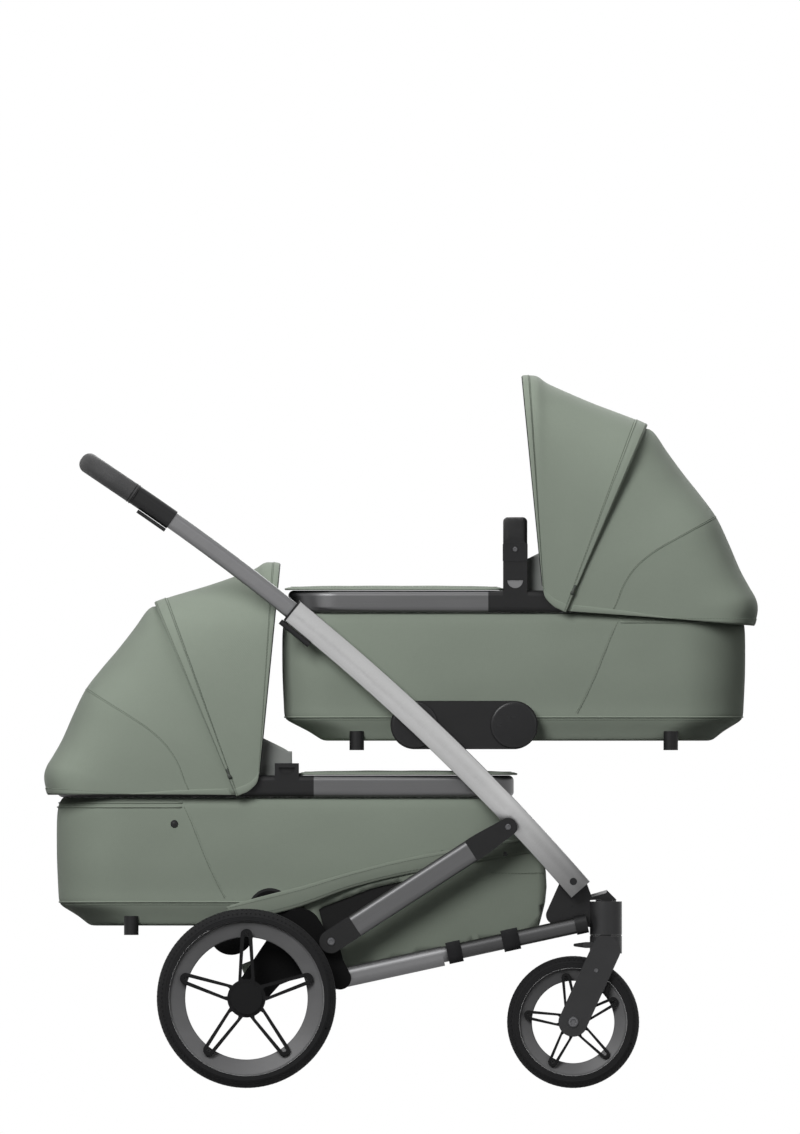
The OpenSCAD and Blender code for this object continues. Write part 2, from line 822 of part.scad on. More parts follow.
module strut_ends() {
  top = strut_foot + (strut_foot_l + strut_tube_l) * strut_dir;
  color("#232427") pair() {
    difference() {
      union() {
        slab(strut_y, strut_y + strut_w)
          link(strut_foot, strut_foot + strut_foot_l / 2 * strut_dir, strut_depth / 2, strut_depth / 2);
        along_line(strut_foot + strut_foot_l / 2 * strut_dir, strut_slope, strut_foot_l / 2, strut_y + strut_w / 2)
          square([strut_w, strut_depth], center = true);
      }
      rod(strut_foot, strut_pin_r + run_gap, strut_y - over, strut_y + strut_w + over);
    }
    along_line(top, strut_slope, strut_tip_r, strut_y + strut_w / 2)
      square([strut_w, strut_depth], center = true);
    slab(strut_y, strut_y + strut_w)
      link(top + strut_depth / 2 * strut_dir, strut_tip, strut_depth / 2, strut_tip_r);
  }
}

// a cot is drawn with its head towards +X and its bottom at z = 0
module upper_place() translate([cot_offset, 0, upper_cot_z]) children();
module lower_place() translate([-cot_offset, 0, lower_cot_z]) mirror([1, 0, 0]) children();

module tub() {
  top = cot_w / 2 - tub_inset;
  mid = cot_w / 2 - seam_inset;
  low = cot_w / 2 - bottom_inset;
  color("#6b7869") difference() {
    skin([
      plan_ring(tub_half - foot_rake, tub_half - head_rake, low, foot_bend_r, head_bend_r, 0),
      plan_ring(tub_half - rim_end, tub_half - rim_end, mid, foot_bend_r, head_bend_r, seam_h),
      plan_ring(tub_half, tub_half, top, foot_bend_r, head_bend_r, tub_h),
      plan_ring(tub_half - tub_wall, tub_half - tub_wall, top - tub_wall,
        foot_bend_r - tub_wall, head_bend_r - tub_wall, tub_h),
      plan_ring(tub_half - rim_end - tub_wall, tub_half - rim_end - tub_wall, mid - tub_wall,
        foot_bend_r - tub_wall, head_bend_r - tub_wall, seam_h + tub_floor / 2),
      plan_ring(tub_half - foot_rake - tub_wall, tub_half - head_rake - tub_wall, low - tub_wall,
        foot_bend_r - tub_wall, head_bend_r - tub_wall, tub_floor)
    ]);
    cot_feet(seat_gap);
  }
}

module cot_feet(grow) {
  for (u = [-foot_u, foot_u]) for (s = [-1, 1])
    translate([u, s * (cot_w / 2 - foot_in), -foot_drop - grow * over])
      cylinder(r = foot_r + grow, h = foot_drop + foot_rise + grow * (over + 1));
}

module cot_mounts(u) {
  inner = cot_w / 2 - seam_inset + mount_wall_gap;
  color("#232427") {
    cot_feet(0);
    pair() slab(inner, adapter_y - clear_gap) difference() {
      translate([u, mount_z]) circle(mount_r);
      translate([u, mount_z]) circle(stub_r + clear_gap);
      polygon([
        [u - stub_r - clear_gap, mount_z], [u + stub_r + clear_gap, mount_z],
        [u + stub_r + mount_r * notch_share, mount_z - mount_r - over],
        [u - stub_r - mount_r * notch_share, mount_z - mount_r - over]
      ]);
    }
  }
}

module foot_rim() {
  leg = tub_half - rim_w / 2 - foot_bend_r - joint_u;
  color("#c9cacb") translate([-joint_u, 0, rim_z]) mirror([1, 0, 0])
    u_tube(leg, rim_y, foot_bend_r - rim_w / 2) oval(rim_w, rim_d);
}

module head_ring() {
  r = head_bend_r - rim_w / 2;
  leg = tub_half - rim_w / 2 - r + joint_u;
  translate([-joint_u, 0, rim_z]) u_tube(leg, rim_y, r) oval(rim_w, rim_d);
  pair() rod([hood_pivot_u, hood_pivot_z], hood_pin_r, cot_w / 2 - rim_w / 2, bow_y + bow_t / 2);
}

// half-moon with its flat side up
module moon(r) {
  intersection() {
    circle(r);
    translate([-r, -r]) square([2 * r, r]);
  }
}

module upper_head_frame() {
  out = cot_w / 2;
  color("#232427") upper_place() difference() {
    union() {
      head_ring();
      pair() slab(out - rim_w, out) translate([post_u - bar_w / 2, rim_z]) square([bar_w, rim_d / 2 + socket_rise]);
      pair() slab(rim_y + ear_gap / 2, out) {
        translate([post_u - bar_w / 2, rim_z]) square([bar_w, bar_knuckle_z - rim_z]);
        translate([post_u, bar_knuckle_z]) circle(bar_w / 2);
      }
      pair() rod([post_u, bar_knuckle_z], knuckle_pin_r, rim_y - bar_t / 2, out);
    }
    pair() slab(out - moon_depth - moon_travel - clear_gap, out + over)
      translate([post_u, moon_z]) moon(moon_r + clear_gap);
  }
}

module bar_button_left() {
  out = cot_w / 2;
  color("#9b9c9e") upper_place() slab(out - moon_depth, out - moon_cover)
    translate([post_u, moon_z]) moon(moon_r);
}
module bar_button_right() right_hand() bar_button_left();

module carry_bar() {
  ear_y = rim_y - ear_gap / 2;
  half = ear_y - bar_t / 2;
  leg = bar_top_z - bar_knuckle_z - bar_bend_r - bar_t / 2;
  color("#37373a") upper_place() difference() {
    union() {
      translate([post_u, 0, bar_knuckle_z]) rotate([0, -90, 0])
        u_tube(leg, half, bar_bend_r) oval(bar_t, bar_w);
      pair() rod([post_u, bar_knuckle_z], bar_w / 2, ear_y - bar_t, ear_y);
    }
    pair() rod([post_u, bar_knuckle_z], knuckle_pin_r + run_gap, ear_y - bar_t - over, ear_y + over);
  }
}

module lower_head_frame() {
  out = cot_w / 2;
  color("#232427") lower_place() difference() {
    union() {
      head_ring();
      pair() slab(out - rim_w, out) translate([post_u - bar_w / 2, rim_z]) square([bar_w, rim_d / 2 + socket_rise]);
    }
    pair() slab(out - moon_depth, out + over) translate([post_u, empty_moon_z]) moon(moon_r);
  }
}

module mattress() {
  f = tub_half - foot_rake - tub_wall - mattress_gap;
  h = tub_half - head_rake - tub_wall - mattress_gap;
  w = cot_w / 2 - bottom_inset - tub_wall - mattress_gap;
  rf = foot_bend_r - tub_wall - mattress_gap;
  rh = head_bend_r - tub_wall - mattress_gap;
  z = tub_floor + clear_gap;
  rows = [
    [mattress_top, 0], [mattress_seam, mattress_t * 0.1], [0, mattress_t * 0.45], [mattress_seam, mattress_t * 0.78],
    [mattress_top, mattress_t * 0.9], [mattress_top * 3, mattress_t * 0.97], [mattress_top * 6, mattress_t]
  ];
  color("#d9d8d2") skin([
    for (r = rows) plan_ring(f - r[0], h - r[0], w - r[0], max(rf - r[0], over), max(rh - r[0], over), z + r[1])
  ]);
}

module apron() {
  f = tub_half - apron_lap;
  w = cot_w / 2 - apron_lap;
  rf = foot_bend_r - apron_lap;
  end = post_u - bar_w / 2 - 2 * clear_gap;
  z = rim_top + clear_gap;
  rows = [[0, 0], [0, apron_edge * 0.6], [apron_edge, apron_edge], [w / 4, apron_edge + apron_crown * 0.7],
    [w / 2, apron_edge + apron_crown]];
  fold_path = [
    [end - flap_u, z + flap_t / 2],
    [-flap_u + flap_t / 2, z + flap_t / 2],
    [-flap_u + flap_t / 2, rim_top + flap_rise],
    [-flap_u + flap_t * 3, rim_top + flap_rise + flap_t * 3],
    [flap_slope_u - flap_u, rim_top + flap_rise + flap_slope_z]
  ];
  color("#5d6a5c") {
    skin([
      for (r = rows) plan_ring(f - r[0], end - r[0], w - r[0], max(rf - r[0], apron_edge),
        max(apron_end_r - r[0], apron_edge), z + r[1])
    ]);
    slab(-flap_half, flap_half)
      for (i = [0:3]) link(fold_path[i], fold_path[i + 1], flap_t / 2, flap_t / 2);
    pair() slab(flap_half - flap_t, flap_half)
      polygon([fold_path[1], fold_path[2], fold_path[3], fold_path[4], [fold_path[4][0], z]]);
  }
}

module hood_shell(tops, bases, half, powers, rise) {
  skin([
    for (i = [0:len(tops) - 1])
      arch_ring(hood_place(bases[i], rise), hood_place(tops[i], rise), half, powers[i], hood_t)
  ], true);
}

module hood_rear(rise) {
  color("#6b7869") translate([hood_pivot_u, 0, hood_pivot_z])
    hood_shell(rear_top_shares, rear_base_shares, hood_rear_w / 2,
      [rear_round, rear_round, side_round, tail_round, tail_round, tail_round], rise);
}

module hood_front(rise) {
  color("#6b7869") translate([hood_pivot_u, 0, hood_pivot_z])
    hood_shell(front_top_shares, front_base_shares, hood_w / 2, [for (t = front_top_shares) front_round], rise);
}

// flat bow inside the hood's front edge, with an eye on the hood's pivot at each end
module hood_bow(rise) {
  top = hood_place([bow_top_u_share, bow_top_w_share], rise);
  l = norm(top) - bow_inside;
  lean = atan2(top[1], top[0]);
  half = bow_y + bow_t / 2;
  color("#3a3b3e") translate([hood_pivot_u, 0, hood_pivot_z]) {
    rotate([0, -lean, 0]) difference() {
      translate([0, 0, -bow_w / 2]) linear_extrude(bow_w) difference() {
        polygon([for (p = arch([0, 0], [l, 0], half, front_round)) [p[0], p[1]]]);
        polygon([for (p = arch([-over, 0], [l - bow_t, 0], half - bow_t, front_round)) [p[0], p[1]]]);
      }
      pair() rod([0, 0], bow_eye_r - over, half - bow_t - over, half + over);
    }
    pair() difference() {
      rod([0, 0], bow_eye_r, half - bow_t, half);
      rod([0, 0], hood_pin_r + run_gap, half - bow_t - over, half + over);
    }
  }
}

module upper_tub() upper_place() tub();
module upper_rim() upper_place() foot_rim();
module upper_mounts() upper_place() cot_mounts(0);
module upper_mattress() upper_place() mattress();
module upper_apron() upper_place() apron();
module upper_hood_rear() upper_place() hood_rear(0);
module upper_hood_front() upper_place() hood_front(0);
module upper_hood_bow() upper_place() hood_bow(0);
module lower_tub() lower_place() tub();
module lower_rim() lower_place() foot_rim();
module lower_mounts() lower_place() cot_mounts(lower_mount_u);
module lower_mattress() lower_place() mattress();
module lower_apron() lower_place() apron();
module lower_hood_rear() lower_place() hood_rear(lower_rise_share);
module lower_hood_front() lower_place() hood_front(lower_rise_share);
module lower_hood_bow() lower_place() hood_bow(lower_rise_share);

rear_axle();
rear_hubs();
lower_tubes();
front_brackets();
front_cross_tube();
swivel_housings();
basket();
lower_adapters();
brake_pedal();
wheel_release_left();
wheel_release_right();
masts();
mast_collars();
upper_adapters();
fold_slider_left();
fold_slider_right();
slide_tubes();
handle_grip();
handle_collars();
handle_trigger_left();
handle_trigger_right();
strut_tubes();
strut_ends();
rear_tyre_left();
rear_rim_left();
rear_spider_left();
rear_tyre_right();
rear_rim_right();
rear_spider_right();
front_tyre_left();
front_rim_left();
front_spider_left();
front_tyre_right();
front_rim_right();
front_spider_right();
fork_left();
fork_right();
swivel_lock_left();
swivel_lock_right();
upper_tub();
upper_rim();
upper_head_frame();
upper_mounts();
upper_mattress();
upper_apron();
upper_hood_rear();
upper_hood_front();
upper_hood_bow();
lower_tub();
lower_rim();
lower_head_frame();
lower_mounts();
lower_mattress();
lower_apron();
lower_hood_rear();
lower_hood_front();
lower_hood_bow();
carry_bar();
bar_button_left();
bar_button_right();
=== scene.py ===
import json
import math

import bmesh
import bpy
import numpy as np
from bpy.props import FloatProperty, FloatVectorProperty, IntProperty, PointerProperty
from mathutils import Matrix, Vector
from mathutils.geometry import delaunay_2d_cdt


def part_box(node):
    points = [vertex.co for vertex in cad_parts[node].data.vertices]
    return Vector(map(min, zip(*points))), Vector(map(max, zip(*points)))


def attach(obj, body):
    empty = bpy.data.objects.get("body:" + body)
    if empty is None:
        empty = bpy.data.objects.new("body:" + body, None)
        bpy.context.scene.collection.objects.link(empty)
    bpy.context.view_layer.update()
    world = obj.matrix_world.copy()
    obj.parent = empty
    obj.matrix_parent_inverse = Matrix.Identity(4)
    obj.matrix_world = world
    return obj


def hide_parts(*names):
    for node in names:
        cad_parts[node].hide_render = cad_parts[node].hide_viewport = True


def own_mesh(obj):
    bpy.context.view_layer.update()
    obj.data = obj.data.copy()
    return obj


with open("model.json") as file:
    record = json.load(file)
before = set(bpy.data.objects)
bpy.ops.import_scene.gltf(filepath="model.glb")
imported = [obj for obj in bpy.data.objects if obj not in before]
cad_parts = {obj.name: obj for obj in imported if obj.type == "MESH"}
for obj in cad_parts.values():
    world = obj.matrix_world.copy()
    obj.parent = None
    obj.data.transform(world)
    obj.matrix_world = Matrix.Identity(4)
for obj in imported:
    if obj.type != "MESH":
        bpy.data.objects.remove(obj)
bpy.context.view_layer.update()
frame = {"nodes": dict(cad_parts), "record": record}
NODES = frame["nodes"]
SLOTS = {s["node"]: s["material_slot"] for s in frame["record"]["subparts"]}

bl_info = {
    "name": "Twin pram looks",
    "version": (1, 0, 0),
    "blender": (4, 5, 0),
    "location": "View3D > Sidebar > Pram",
    "description": "Cloth, trim, finishes and studio for a twin pram's packed frame",
    "category": "Object",
}

# Lengths below are in millimetres. The add-on's own properties are in metres.
# Cots: the middle of each bottom in X and Z, and the way its head points along X.
COTS = {"upper": (186.0, 573.0, 1), "lower": (-186.0, 268.0, -1)}
SIDES = {"left": 1, "right": -1}
# Hoods: pivot, climb for every millimetre from it, half width, and how far the rear section lies inside.
PIVOT = (70.0, 227.0)
HOOD_RISE = {"upper": 0.0, "lower": 0.08}
HOOD_W, HOOD_LAP = 213.0, 4.8
# Hood stations from the pivot: base u, base w, top u, top w, roundness of the arch.
HOOD_FRONT = [
    (-22, 25, -56, 375, 3.6), (-19, 12, -33, 375, 3.6), (-13, 3, -13, 362, 3.6), (-3, -6, 26, 344.5, 3.6),
    (5, -10, 66, 328, 3.6), (10, -12.5, 105, 313, 3.6), (13, -14, 132, 302.5, 3.6), (16, -15, 151, 294, 3.6),
]
HOOD_REAR = [
    (17, -13, 140, 290, 3.0), (22, -13.4, 160, 283, 3.0), (40, -14.7, 184, 249, 3.3),
    (60, -16.1, 211, 212, 3.6), (80, -17.5, 238, 178, 3.9), (100, -19, 264, 142, 4.2),
    (120, -20.4, 284, 101, 4.4), (140, -21.9, 303, 56, 4.6), (155, -22.9, 318, 28, 4.8),
    (165, -23.7, 328, 11, 5.0), (173, -24.2, 332.5, -3, 5.0), (181, -24.8, 332, -18, 5.0),
    (190, -25.5, 327, -37.5, 5.0),
]
REAR_SEAM = [
    (264, 141), (228, 121), (189, 100), (160, 84), (137, 66), (120, 46), (108, 25), (101, 4), (97, -16),
]
# Hems: shares along each section, share across at its sides, then share across the hem and height.
FRONT_HEMS, REAR_HEM, SIDE_HEM = ((0.0, 0.055), (0.905, 0.995)), (0.995, 0.968), 0.013
HEM = [(0, -0.3), (0, 0.5), (0.12, 0.95), (0.5, 1.05), (0.88, 0.95), (1, 0.5), (1, -0.3), (0.5, -0.3)]
# Lines of stitches on a front section: share along it and height above it.
HOOD_STITCHES = [(0.05, 1.1), (0.062, -0.1), (0.9, -0.1), (0.915, 1.6), (0.985, 1.6)]
# Zip pull: share across the hood, half width, height.
ZIP_PULL = [
    (-0.004, 2.6, 2.4), (-0.002, 3.4, 3.4), (0.001, 3.2, 3.4), (0.003, 2.0, 2.4), (0.004, 1.7, 2.2),
    (0.012, 2.4, 2.0), (0.014, 1.6, 1.8),
]
# Tub levels: height, foot half length, head half length, half width.
TUB = [
    (0, 306, 317, 170), (0.5, 312, 323, 175), (3, 319, 330, 179), (16, 340, 347, 184.5), (31, 369, 371, 191),
    (37, 376.5, 376.5, 192.6), (44, 378.5, 378.5, 193), (60, 379.5, 379.5, 193.2), (105, 381.5, 381.5, 196.5),
    (145, 382, 382, 197.4), (178, 381.5, 381.5, 196.5), (198, 379, 379, 194.5), (207, 375, 375, 190),
    (212, 371, 371, 186),
]
FOOT_R, HEAD_R, TUB_WALL = 80.0, 105.0, 3.0
TUB_SEAM = [(168, 194), (158, 172), (147, 144), (133, 109), (117, 74), (103, 47)]
BASE_PIPING_Z, BASE_STITCH_Z, HEAD_PIPING_Z, HEAD_FROM = 39.0, 34.5, (195.5, 202.5), 169.0
# Apron: inset and height of each ring, plans of its cloth, edge and stitches, and its flap in the side view.
APRON = [
    (0, 248.6), (0, 250.4), (0.8, 252), (3.5, 252.9), (9, 253.4), (26, 254.2), (52, 255), (80, 255.4),
    (110, 255.6), (150, 255.7),
]
APRON_PLAN = (376.0, -18.8, 196.0, 75.0, 25.0)
APRON_EDGE, APRON_EDGE_Z = (376.4, -18.4, 196.4, 75, 25), 250.2
APRON_SEWN, APRON_SEWN_Z = (368, -27, 188, 67, 17), 253.9
FLAP = [(-24, 250.2), (-10, 250.4), (-6.8, 253), (-6.5, 268), (-5.5, 280), (1.5, 289), (22, 300), (54, 315.5)]
FLAP_HALF, FLAP_FOOT = 172.0, 237.0
# Mattress: plan, inset and height of each ring, and the lowest level of the pad and of its top.
MATTRESS_PLAN = (303.0, 314.0, 166.0, 68.0, 93.0)
MATTRESS = [(14, 9), (4, 11), (2, 22), (2, 32), (4, 40), (14, 44), (60, 46)]
PAD_LOW, PAD_TOP = 8.6, 40.0
# Basket in the side view: outline, opening, strip under it, padded band, rear strap, the black panel of
# painted shade in the opening, and seam.
BASKET_SIDE = [
    (-117, 190), (223.8, 262), (229, 280), (236, 306), (239, 332), (238, 360), (231, 388), (218, 414),
    (130, 403), (43, 387), (-46, 366), (-155, 332), (-160, 328), (-160, 272),
]
BASKET_GAP = [(-122, 240), (-136, 296), (-46, 330), (6, 342), (-34, 296)]
BASKET_BASE = [(-136, 228)] + BASKET_SIDE[:8]
BAND = [
    (-286, 290, 10), (-245, 297, 15), (-205, 305.5, 17), (-158, 318.5, 16), (-100, 338, 13.5), (-46, 353, 13),
    (10, 366, 13.5), (81, 379, 14), (150, 391, 14), (215, 401, 13),
]
STRAP = [(-262, 196, 8), (-225, 210, 9), (-190, 226, 9), (-140, 250, 8)]
BASKET_SHADE_PANEL = [(-124, 236), (-150, 290), (-150, 322), (-46, 348), (14, 356), (14, 330), (-30, 288)]
BASKET_SEAM = [(151, 355), (199, 354), (233, 356)]
# Basket across: half width, planes of strap, seam, shade panel and band, and the width it keeps when folded.
BASKET_HALF, STRAP_Y, SEAM_Y, SHADE_PANEL_Y = 202.6, 203.4, 206.0, (199.2, 200.2)
BAND_Y, BASKET_FOLDED = ((-170, -60), (218.5, 205.4)), 0.89
FLOOR_ROWS, FLOOR_COLUMNS = 90, 44
# Loops round the lower tubes: distance along the tube and width, middle across, and half sizes.
TUBE_LOOPS, LOOP_Y, LOOP_HALF = ((184.0, 24.0), (279.0, 28.0)), 222.5, (13.0, 16.2)
LOWER_START, LOWER_SLOPE = (-91.0, 183.0), math.radians(12.3)
# Masts and grip: bow radius, bow angle at the fold pivot, that pivot, middle of a mast, the grip's sizes.
BOW_R, BOW_A0, FOLD, MAST_MID = 3764.0, math.radians(41.2), (284.4, 340.8), 227.5
GRIP_S, GRIP_LEG, GRIP_R = 967.0, 37.0, 55.0
GRIP_SEAM_IN, GRIP_SEAM_Z, BEAD_R = 13.4, 6.0, 15.1
STRUT_FOOT, STRUT_TIP, STRUT_FACE = (-115.5, 241.7), (176.7, 430.7), 259.5
# Wheels: X, Y and Z of the middle, and tyre width. Rings: outer radius, inner radius, width.
# Tread rows and the crown's radius are shares of the tyre's width.
WHEELS = {"rear": (-255.0, 284.0, 148.0, 42.0), "front": (284.0, 205.0, 109.0, 36.0)}
RINGS = {"rear": (127.9, 100.9, 30.0), "front": (88.9, 67.9, 26.0)}
TREAD_ROWS, CROWN = (-0.40, -0.20, 0.0, 0.20, 0.40), 0.57
# Swivels: place, fork side from it, fork screw, seals by radius and height, release with the pale strip of
# painted highlight on its top, bracket.
SWIVEL, FORK_FACE, FORK_SCREW, STEM_CLEAR = (338.0, 205.0), 27.0, (-16.0, 194.0), 9.7
FORK_SEAL, GASKET = (25.6, 251.05, 252.95), (17.0, 308.03, 310.36)
RELEASE_Z, RELEASE_Y, BRACKET_TOE, BRACKET_Y = 310.4, (179.7, 203.35), (311.5, 280.5), (205.0, 209.0)
RELEASE_HIGHLIGHT = [(-30.6, 2.6), (0.5, 11.4), (2.6, 16.3), (1.6, 16.6), (-30.6, 7.5)]
# Discs at the ends of the upper adapters: places, radius, outer face.
ADAPTER_DISCS, DISC_R, DISC_Y = ((186.0, 599.0), (22.5, 599.0)), 38.4, 214.5
# Covers of the carry bar's knuckles: offset along the cot, outline and planes.
KNUCKLE_U, KNUCKLE_Y = 2.4, (200.6, 202.2)
KNUCKLE = [
    (-19.5, 295.5), (19.5, 295.5), (20.6, 297), (20.6, 324.5), (19.5, 326), (-19.5, 326), (-20.6, 324.5),
    (-20.6, 297),
]


# Settings of the add-on
def colour(name, text, default):
    return FloatVectorProperty(
        name=name, description=text, subtype="COLOR", size=3, default=default, min=0, max=1)


def length(name, text, default):
    return FloatProperty(name=name, description=text, default=default, unit="LENGTH")


class PramColours(bpy.types.PropertyGroup):
    cloth: colour("Cloth", "Hoods, tubs and aprons", (0.214, 0.246, 0.203))
    basket: colour("Basket cloth", "Basket sides and band", (0.175, 0.2, 0.165))
    lining: colour("Lining", "Inside of the hoods and tubs", (0.2, 0.21, 0.2))
    thread: colour("Thread", "Stitches on the cloth", (0.172, 0.198, 0.163))
    cotton: colour("Cotton", "Mattress cover", (0.72, 0.71, 0.67))
    silver: colour("Silver", "Anodised tubes", (0.42, 0.42, 0.42))
    ring: colour("Wheel ring", "Grey ring of each wheel", (0.175, 0.175, 0.178))
    black: colour("Black plastic", "Moulded joints, forks and brackets", (0.012, 0.012, 0.0125))
    grip: colour("Grip", "Leatherette of the handle", (0.045, 0.045, 0.046))
    tyre: colour("Tyre", "Tyre rubber", (0.0135, 0.0135, 0.0142))


class PramSizes(bpy.types.PropertyGroup):
    weave: length("Weave pitch", "Distance between threads", 0.0012)
    cloth_t: length("Cloth thickness", "Cloth with its lining", 0.0022)
    stitch: length("Stitch", "Length of one stitch", 0.0042)
    stitch_pitch: length("Stitch pitch", "Distance between stitches", 0.0052)
    stitch_r: length("Thread radius", "Half the thread's thickness", 0.00038)
    tread_pitch: length("Tread pitch", "Distance between tread ribs", 0.0075)
    arch_steps: IntProperty(name="Arch steps", description="Faces across a hood", default=96, min=24, max=200)


def colours():
    return bpy.context.scene.pram_colours


def sizes():
    return bpy.context.scene.pram_sizes


# Nodes
class Wire:
    """A node's output; sums, differences, products and shares of wires make math nodes."""

    def __init__(self, socket):
        self.socket = socket

    def math(self, operation, other=0.0, swap=False):
        pair = (other, self) if swap else (self, other)
        return out(node(self.socket.id_data, "ShaderNodeMath", dict(enumerate(pair)), operation=operation))

    def __add__(self, other):
        return self.math("ADD", other)

    def __sub__(self, other):
        return self.math("SUBTRACT", other)

    def __rsub__(self, other):
        return self.math("SUBTRACT", other, True)

    def __mul__(self, other):
        return self.math("MULTIPLY", other)

    def __rtruediv__(self, other):
        return self.math("DIVIDE", other, True)


def feed(socket, value):
    """Links a wire to a socket, or sets the socket to a constant."""
    if isinstance(value, Wire):
        socket.id_data.links.new(value.socket, socket)
    else:
        socket.default_value = value


def node(tree, kind, inputs=None, **settings):
    """A new node with its own settings and its inputs."""
    made = tree.nodes.new(kind)
    for key, value in settings.items():
        setattr(made, key, value)
    for key, value in (inputs or {}).items():
        feed(made.inputs[key], value)
    return made


def out(made, key=0):
    return Wire(made.outputs[key])


def shader_group(name, inputs, build):
    """A group made once; build takes its tree and inputs and gives its outputs by name."""
    if name in bpy.data.node_groups:
        return bpy.data.node_groups[name]
    kinds = {"Vector": "Vector", "Centre": "Vector", "Colour": "Color"}
    tree = bpy.data.node_groups.new(name, "ShaderNodeTree")

    def socket(label, way):
        kind = "NodeSocket" + kinds.get(label, "Float")
        return tree.interface.new_socket(name=label, in_out=way, socket_type=kind)

    for label, value in inputs.items():
        made = socket(label, "INPUT")
        if value is not None:
            made.default_value = value
    given = tree.nodes.new("NodeGroupInput")
    results = build(tree, {label: out(given, label) for label in inputs})
    for label in results:
        socket(label, "OUTPUT")
    node(tree, "NodeGroupOutput", results)
    return tree


def tint(tree, shade, amount):
    """Colour times a value."""
    return out(node(tree, "ShaderNodeMix", {"Factor": 1, "A": shade, "B": amount}, data_type="RGBA",
                    blend_type="MULTIPLY"), "Result")


def noise(tree, vector, scale, detail=2.0, stretch=None):
    if stretch is not None:
        vector = out(node(tree, "ShaderNodeMapping", {"Scale": stretch, "Vector": vector}))
    return out(node(tree, "ShaderNodeTexNoise", {"Scale": scale, "Detail": detail, "Vector": vector}), "Fac")


def split(tree, vector):
    return [Wire(o) for o in node(tree, "ShaderNodeSeparateXYZ", {0: vector}).outputs]


def weave_group():
    def build(t, i):
        v, melange = i["Vector"], i["Melange"]
        x, y, _ = split(t, v)
        step = math.pi / i["Pitch"]
        cross = (x * step).math("SINE") * (y * step).math("SINE") * 0.5 + 0.5
        slub = noise(t, v, 1.0, 3, (70, 900, 1)) + noise(t, v, 1.0, 3, (900, 70, 1))
        level = slub * melange + cross * 0.06 + noise(t, v, 9.0, 3) * 0.12 + 1.41 - melange
        return {"Colour": tint(t, i["Colour"], level), "Roughness": 0.95 - cross * 0.12,
                "Thread height": cross + slub * 0.6,
                "Fold height": noise(t, v, 5.0, 2, (1.0, 0.55, 1)) + noise(t, v, 22.0, 2) * 0.18}

    inputs = {"Vector": None, "Colour": None, "Pitch": 0.0012, "Melange": 0.1}
    return shader_group("Woven cloth", inputs, build)


def grain_group():
    def build(t, i):
        v = i["Vector"]
        fine = noise(t, v, 1500.0, 2)
        mask = (noise(t, v, 14.0, 4, (1, 1, 2.2)) - 0.5) * i["Scuff"]
        return {"Colour": tint(t, i["Colour"], fine * 0.16 + mask + 0.92),
                "Roughness": mask * 0.4 + i["Roughness"], "Height": fine}

    inputs = {"Vector": None, "Colour": None, "Roughness": 0.45, "Scuff": 0.35}
    return shader_group("Moulded grain", inputs, build)


def drawn_metal_group():
    def build(t, i):
        v = i["Vector"]
        spin = {"Vector": v, "Angle": i["Turn"]}
        along = out(node(t, "ShaderNodeVectorRotate", spin, rotation_type="Y_AXIS"))
        lines = noise(t, along, 1.0, 3, (6, 1400, 1400))
        past = (split(t, v)[0] - i["Dark from"]) * i["Dark slope"]
        past.socket.node.use_clamp = True
        # Past Dark from along X the colour is darkened by up to Dark depth; on the masts this darkening is
        # painted shade standing in for the tube's reflections.
        level = (lines * 0.22 + noise(t, v, 7.0, 3) * 0.14 + 0.82) * (1.0 - past * i["Dark depth"])
        return {"Colour": tint(t, i["Colour"], level), "Roughness": lines * 0.14 + i["Roughness"],
                "Height": lines}

    inputs = {"Vector": None, "Colour": None, "Roughness": 0.3, "Turn": 0.0}
    inputs.update({"Dark from": 9.0, "Dark slope": 150.0, "Dark depth": 0.6})
    return shader_group("Drawn metal", inputs, build)


def leather_group():
    def build(t, i):
        v = i["Vector"]
        cells = node(t, "ShaderNodeTexVoronoi", {"Scale": 520.0, "Vector": v}, feature="DISTANCE_TO_EDGE")
        edge = (out(cells, "Distance") * 4.0).math("MINIMUM", 1.0)
        level = edge * 0.3 + noise(t, v, 30.0, 3) * 0.3 + 0.62
        return {"Colour": tint(t, i["Colour"], level), "Roughness": 0.66 - edge * 0.14, "Height": edge}

    return shader_group("Leather grain", {"Vector": None, "Colour": None}, build)


def rubber_group():
    def build(t, i):
        v = i["Vector"]
        x, _, z = split(t, out(node(t, "ShaderNodeVectorMath", {0: v, 1: i["Centre"]}, operation="SUBTRACT")))
        lines = ((x * x + z * z).math("SQRT") * 2200.0).math("SINE")
        dust = noise(t, v, 45.0, 4)
        return {"Colour": tint(t, i["Colour"], dust * 0.5 + 0.75), "Roughness": dust * 0.2 + 0.68,
                "Height": lines + noise(t, v, 900.0, 2) * 0.7}

    return shader_group("Tyre rubber", {"Vector": None, "Colour": None, "Centre": None}, build)


# Finishes
def material(name, group, coordinates, values, depth, shader, fold=0.0):
    """A finish: one shared group feeding colour, roughness and bump of one shader."""
    if name in bpy.data.materials:
        return bpy.data.materials[name]
    made = bpy.data.materials.new(name)
    made.use_nodes = True
    t = made.node_tree
    where = out(node(t, "ShaderNodeTexCoord"), coordinates)
    box = node(t, "ShaderNodeGroup", node_tree=group)
    for key, value in {**values, "Colour": (*values["Colour"], 1), "Vector": where}.items():
        feed(box.inputs[key], value)

    def bump(height, distance, **more):
        more.update(Height=out(box, height), Distance=distance, Strength=0.5)
        return out(node(t, "ShaderNodeBump", more))

    if fold:
        normal = bump("Thread height", depth, Normal=bump("Fold height", fold))
    else:
        normal = bump("Height", depth)
    results = {"Base Color": out(box, "Colour"), "Roughness": out(box, "Roughness"), "Normal": normal}
    for key, value in {**shader, **results}.items():
        feed(t.nodes["Principled BSDF"].inputs[key], value)
    return made


def cloth(name, shade, melange=0.1, sheen=0.12):
    values = {"Colour": shade, "Pitch": sizes().weave, "Melange": melange}
    return material(name, weave_group(), "UV", values, 0.0003,
                    {"Sheen Weight": sheen, "Sheen Roughness": 0.45, "Specular IOR Level": 0.2}, 0.004)


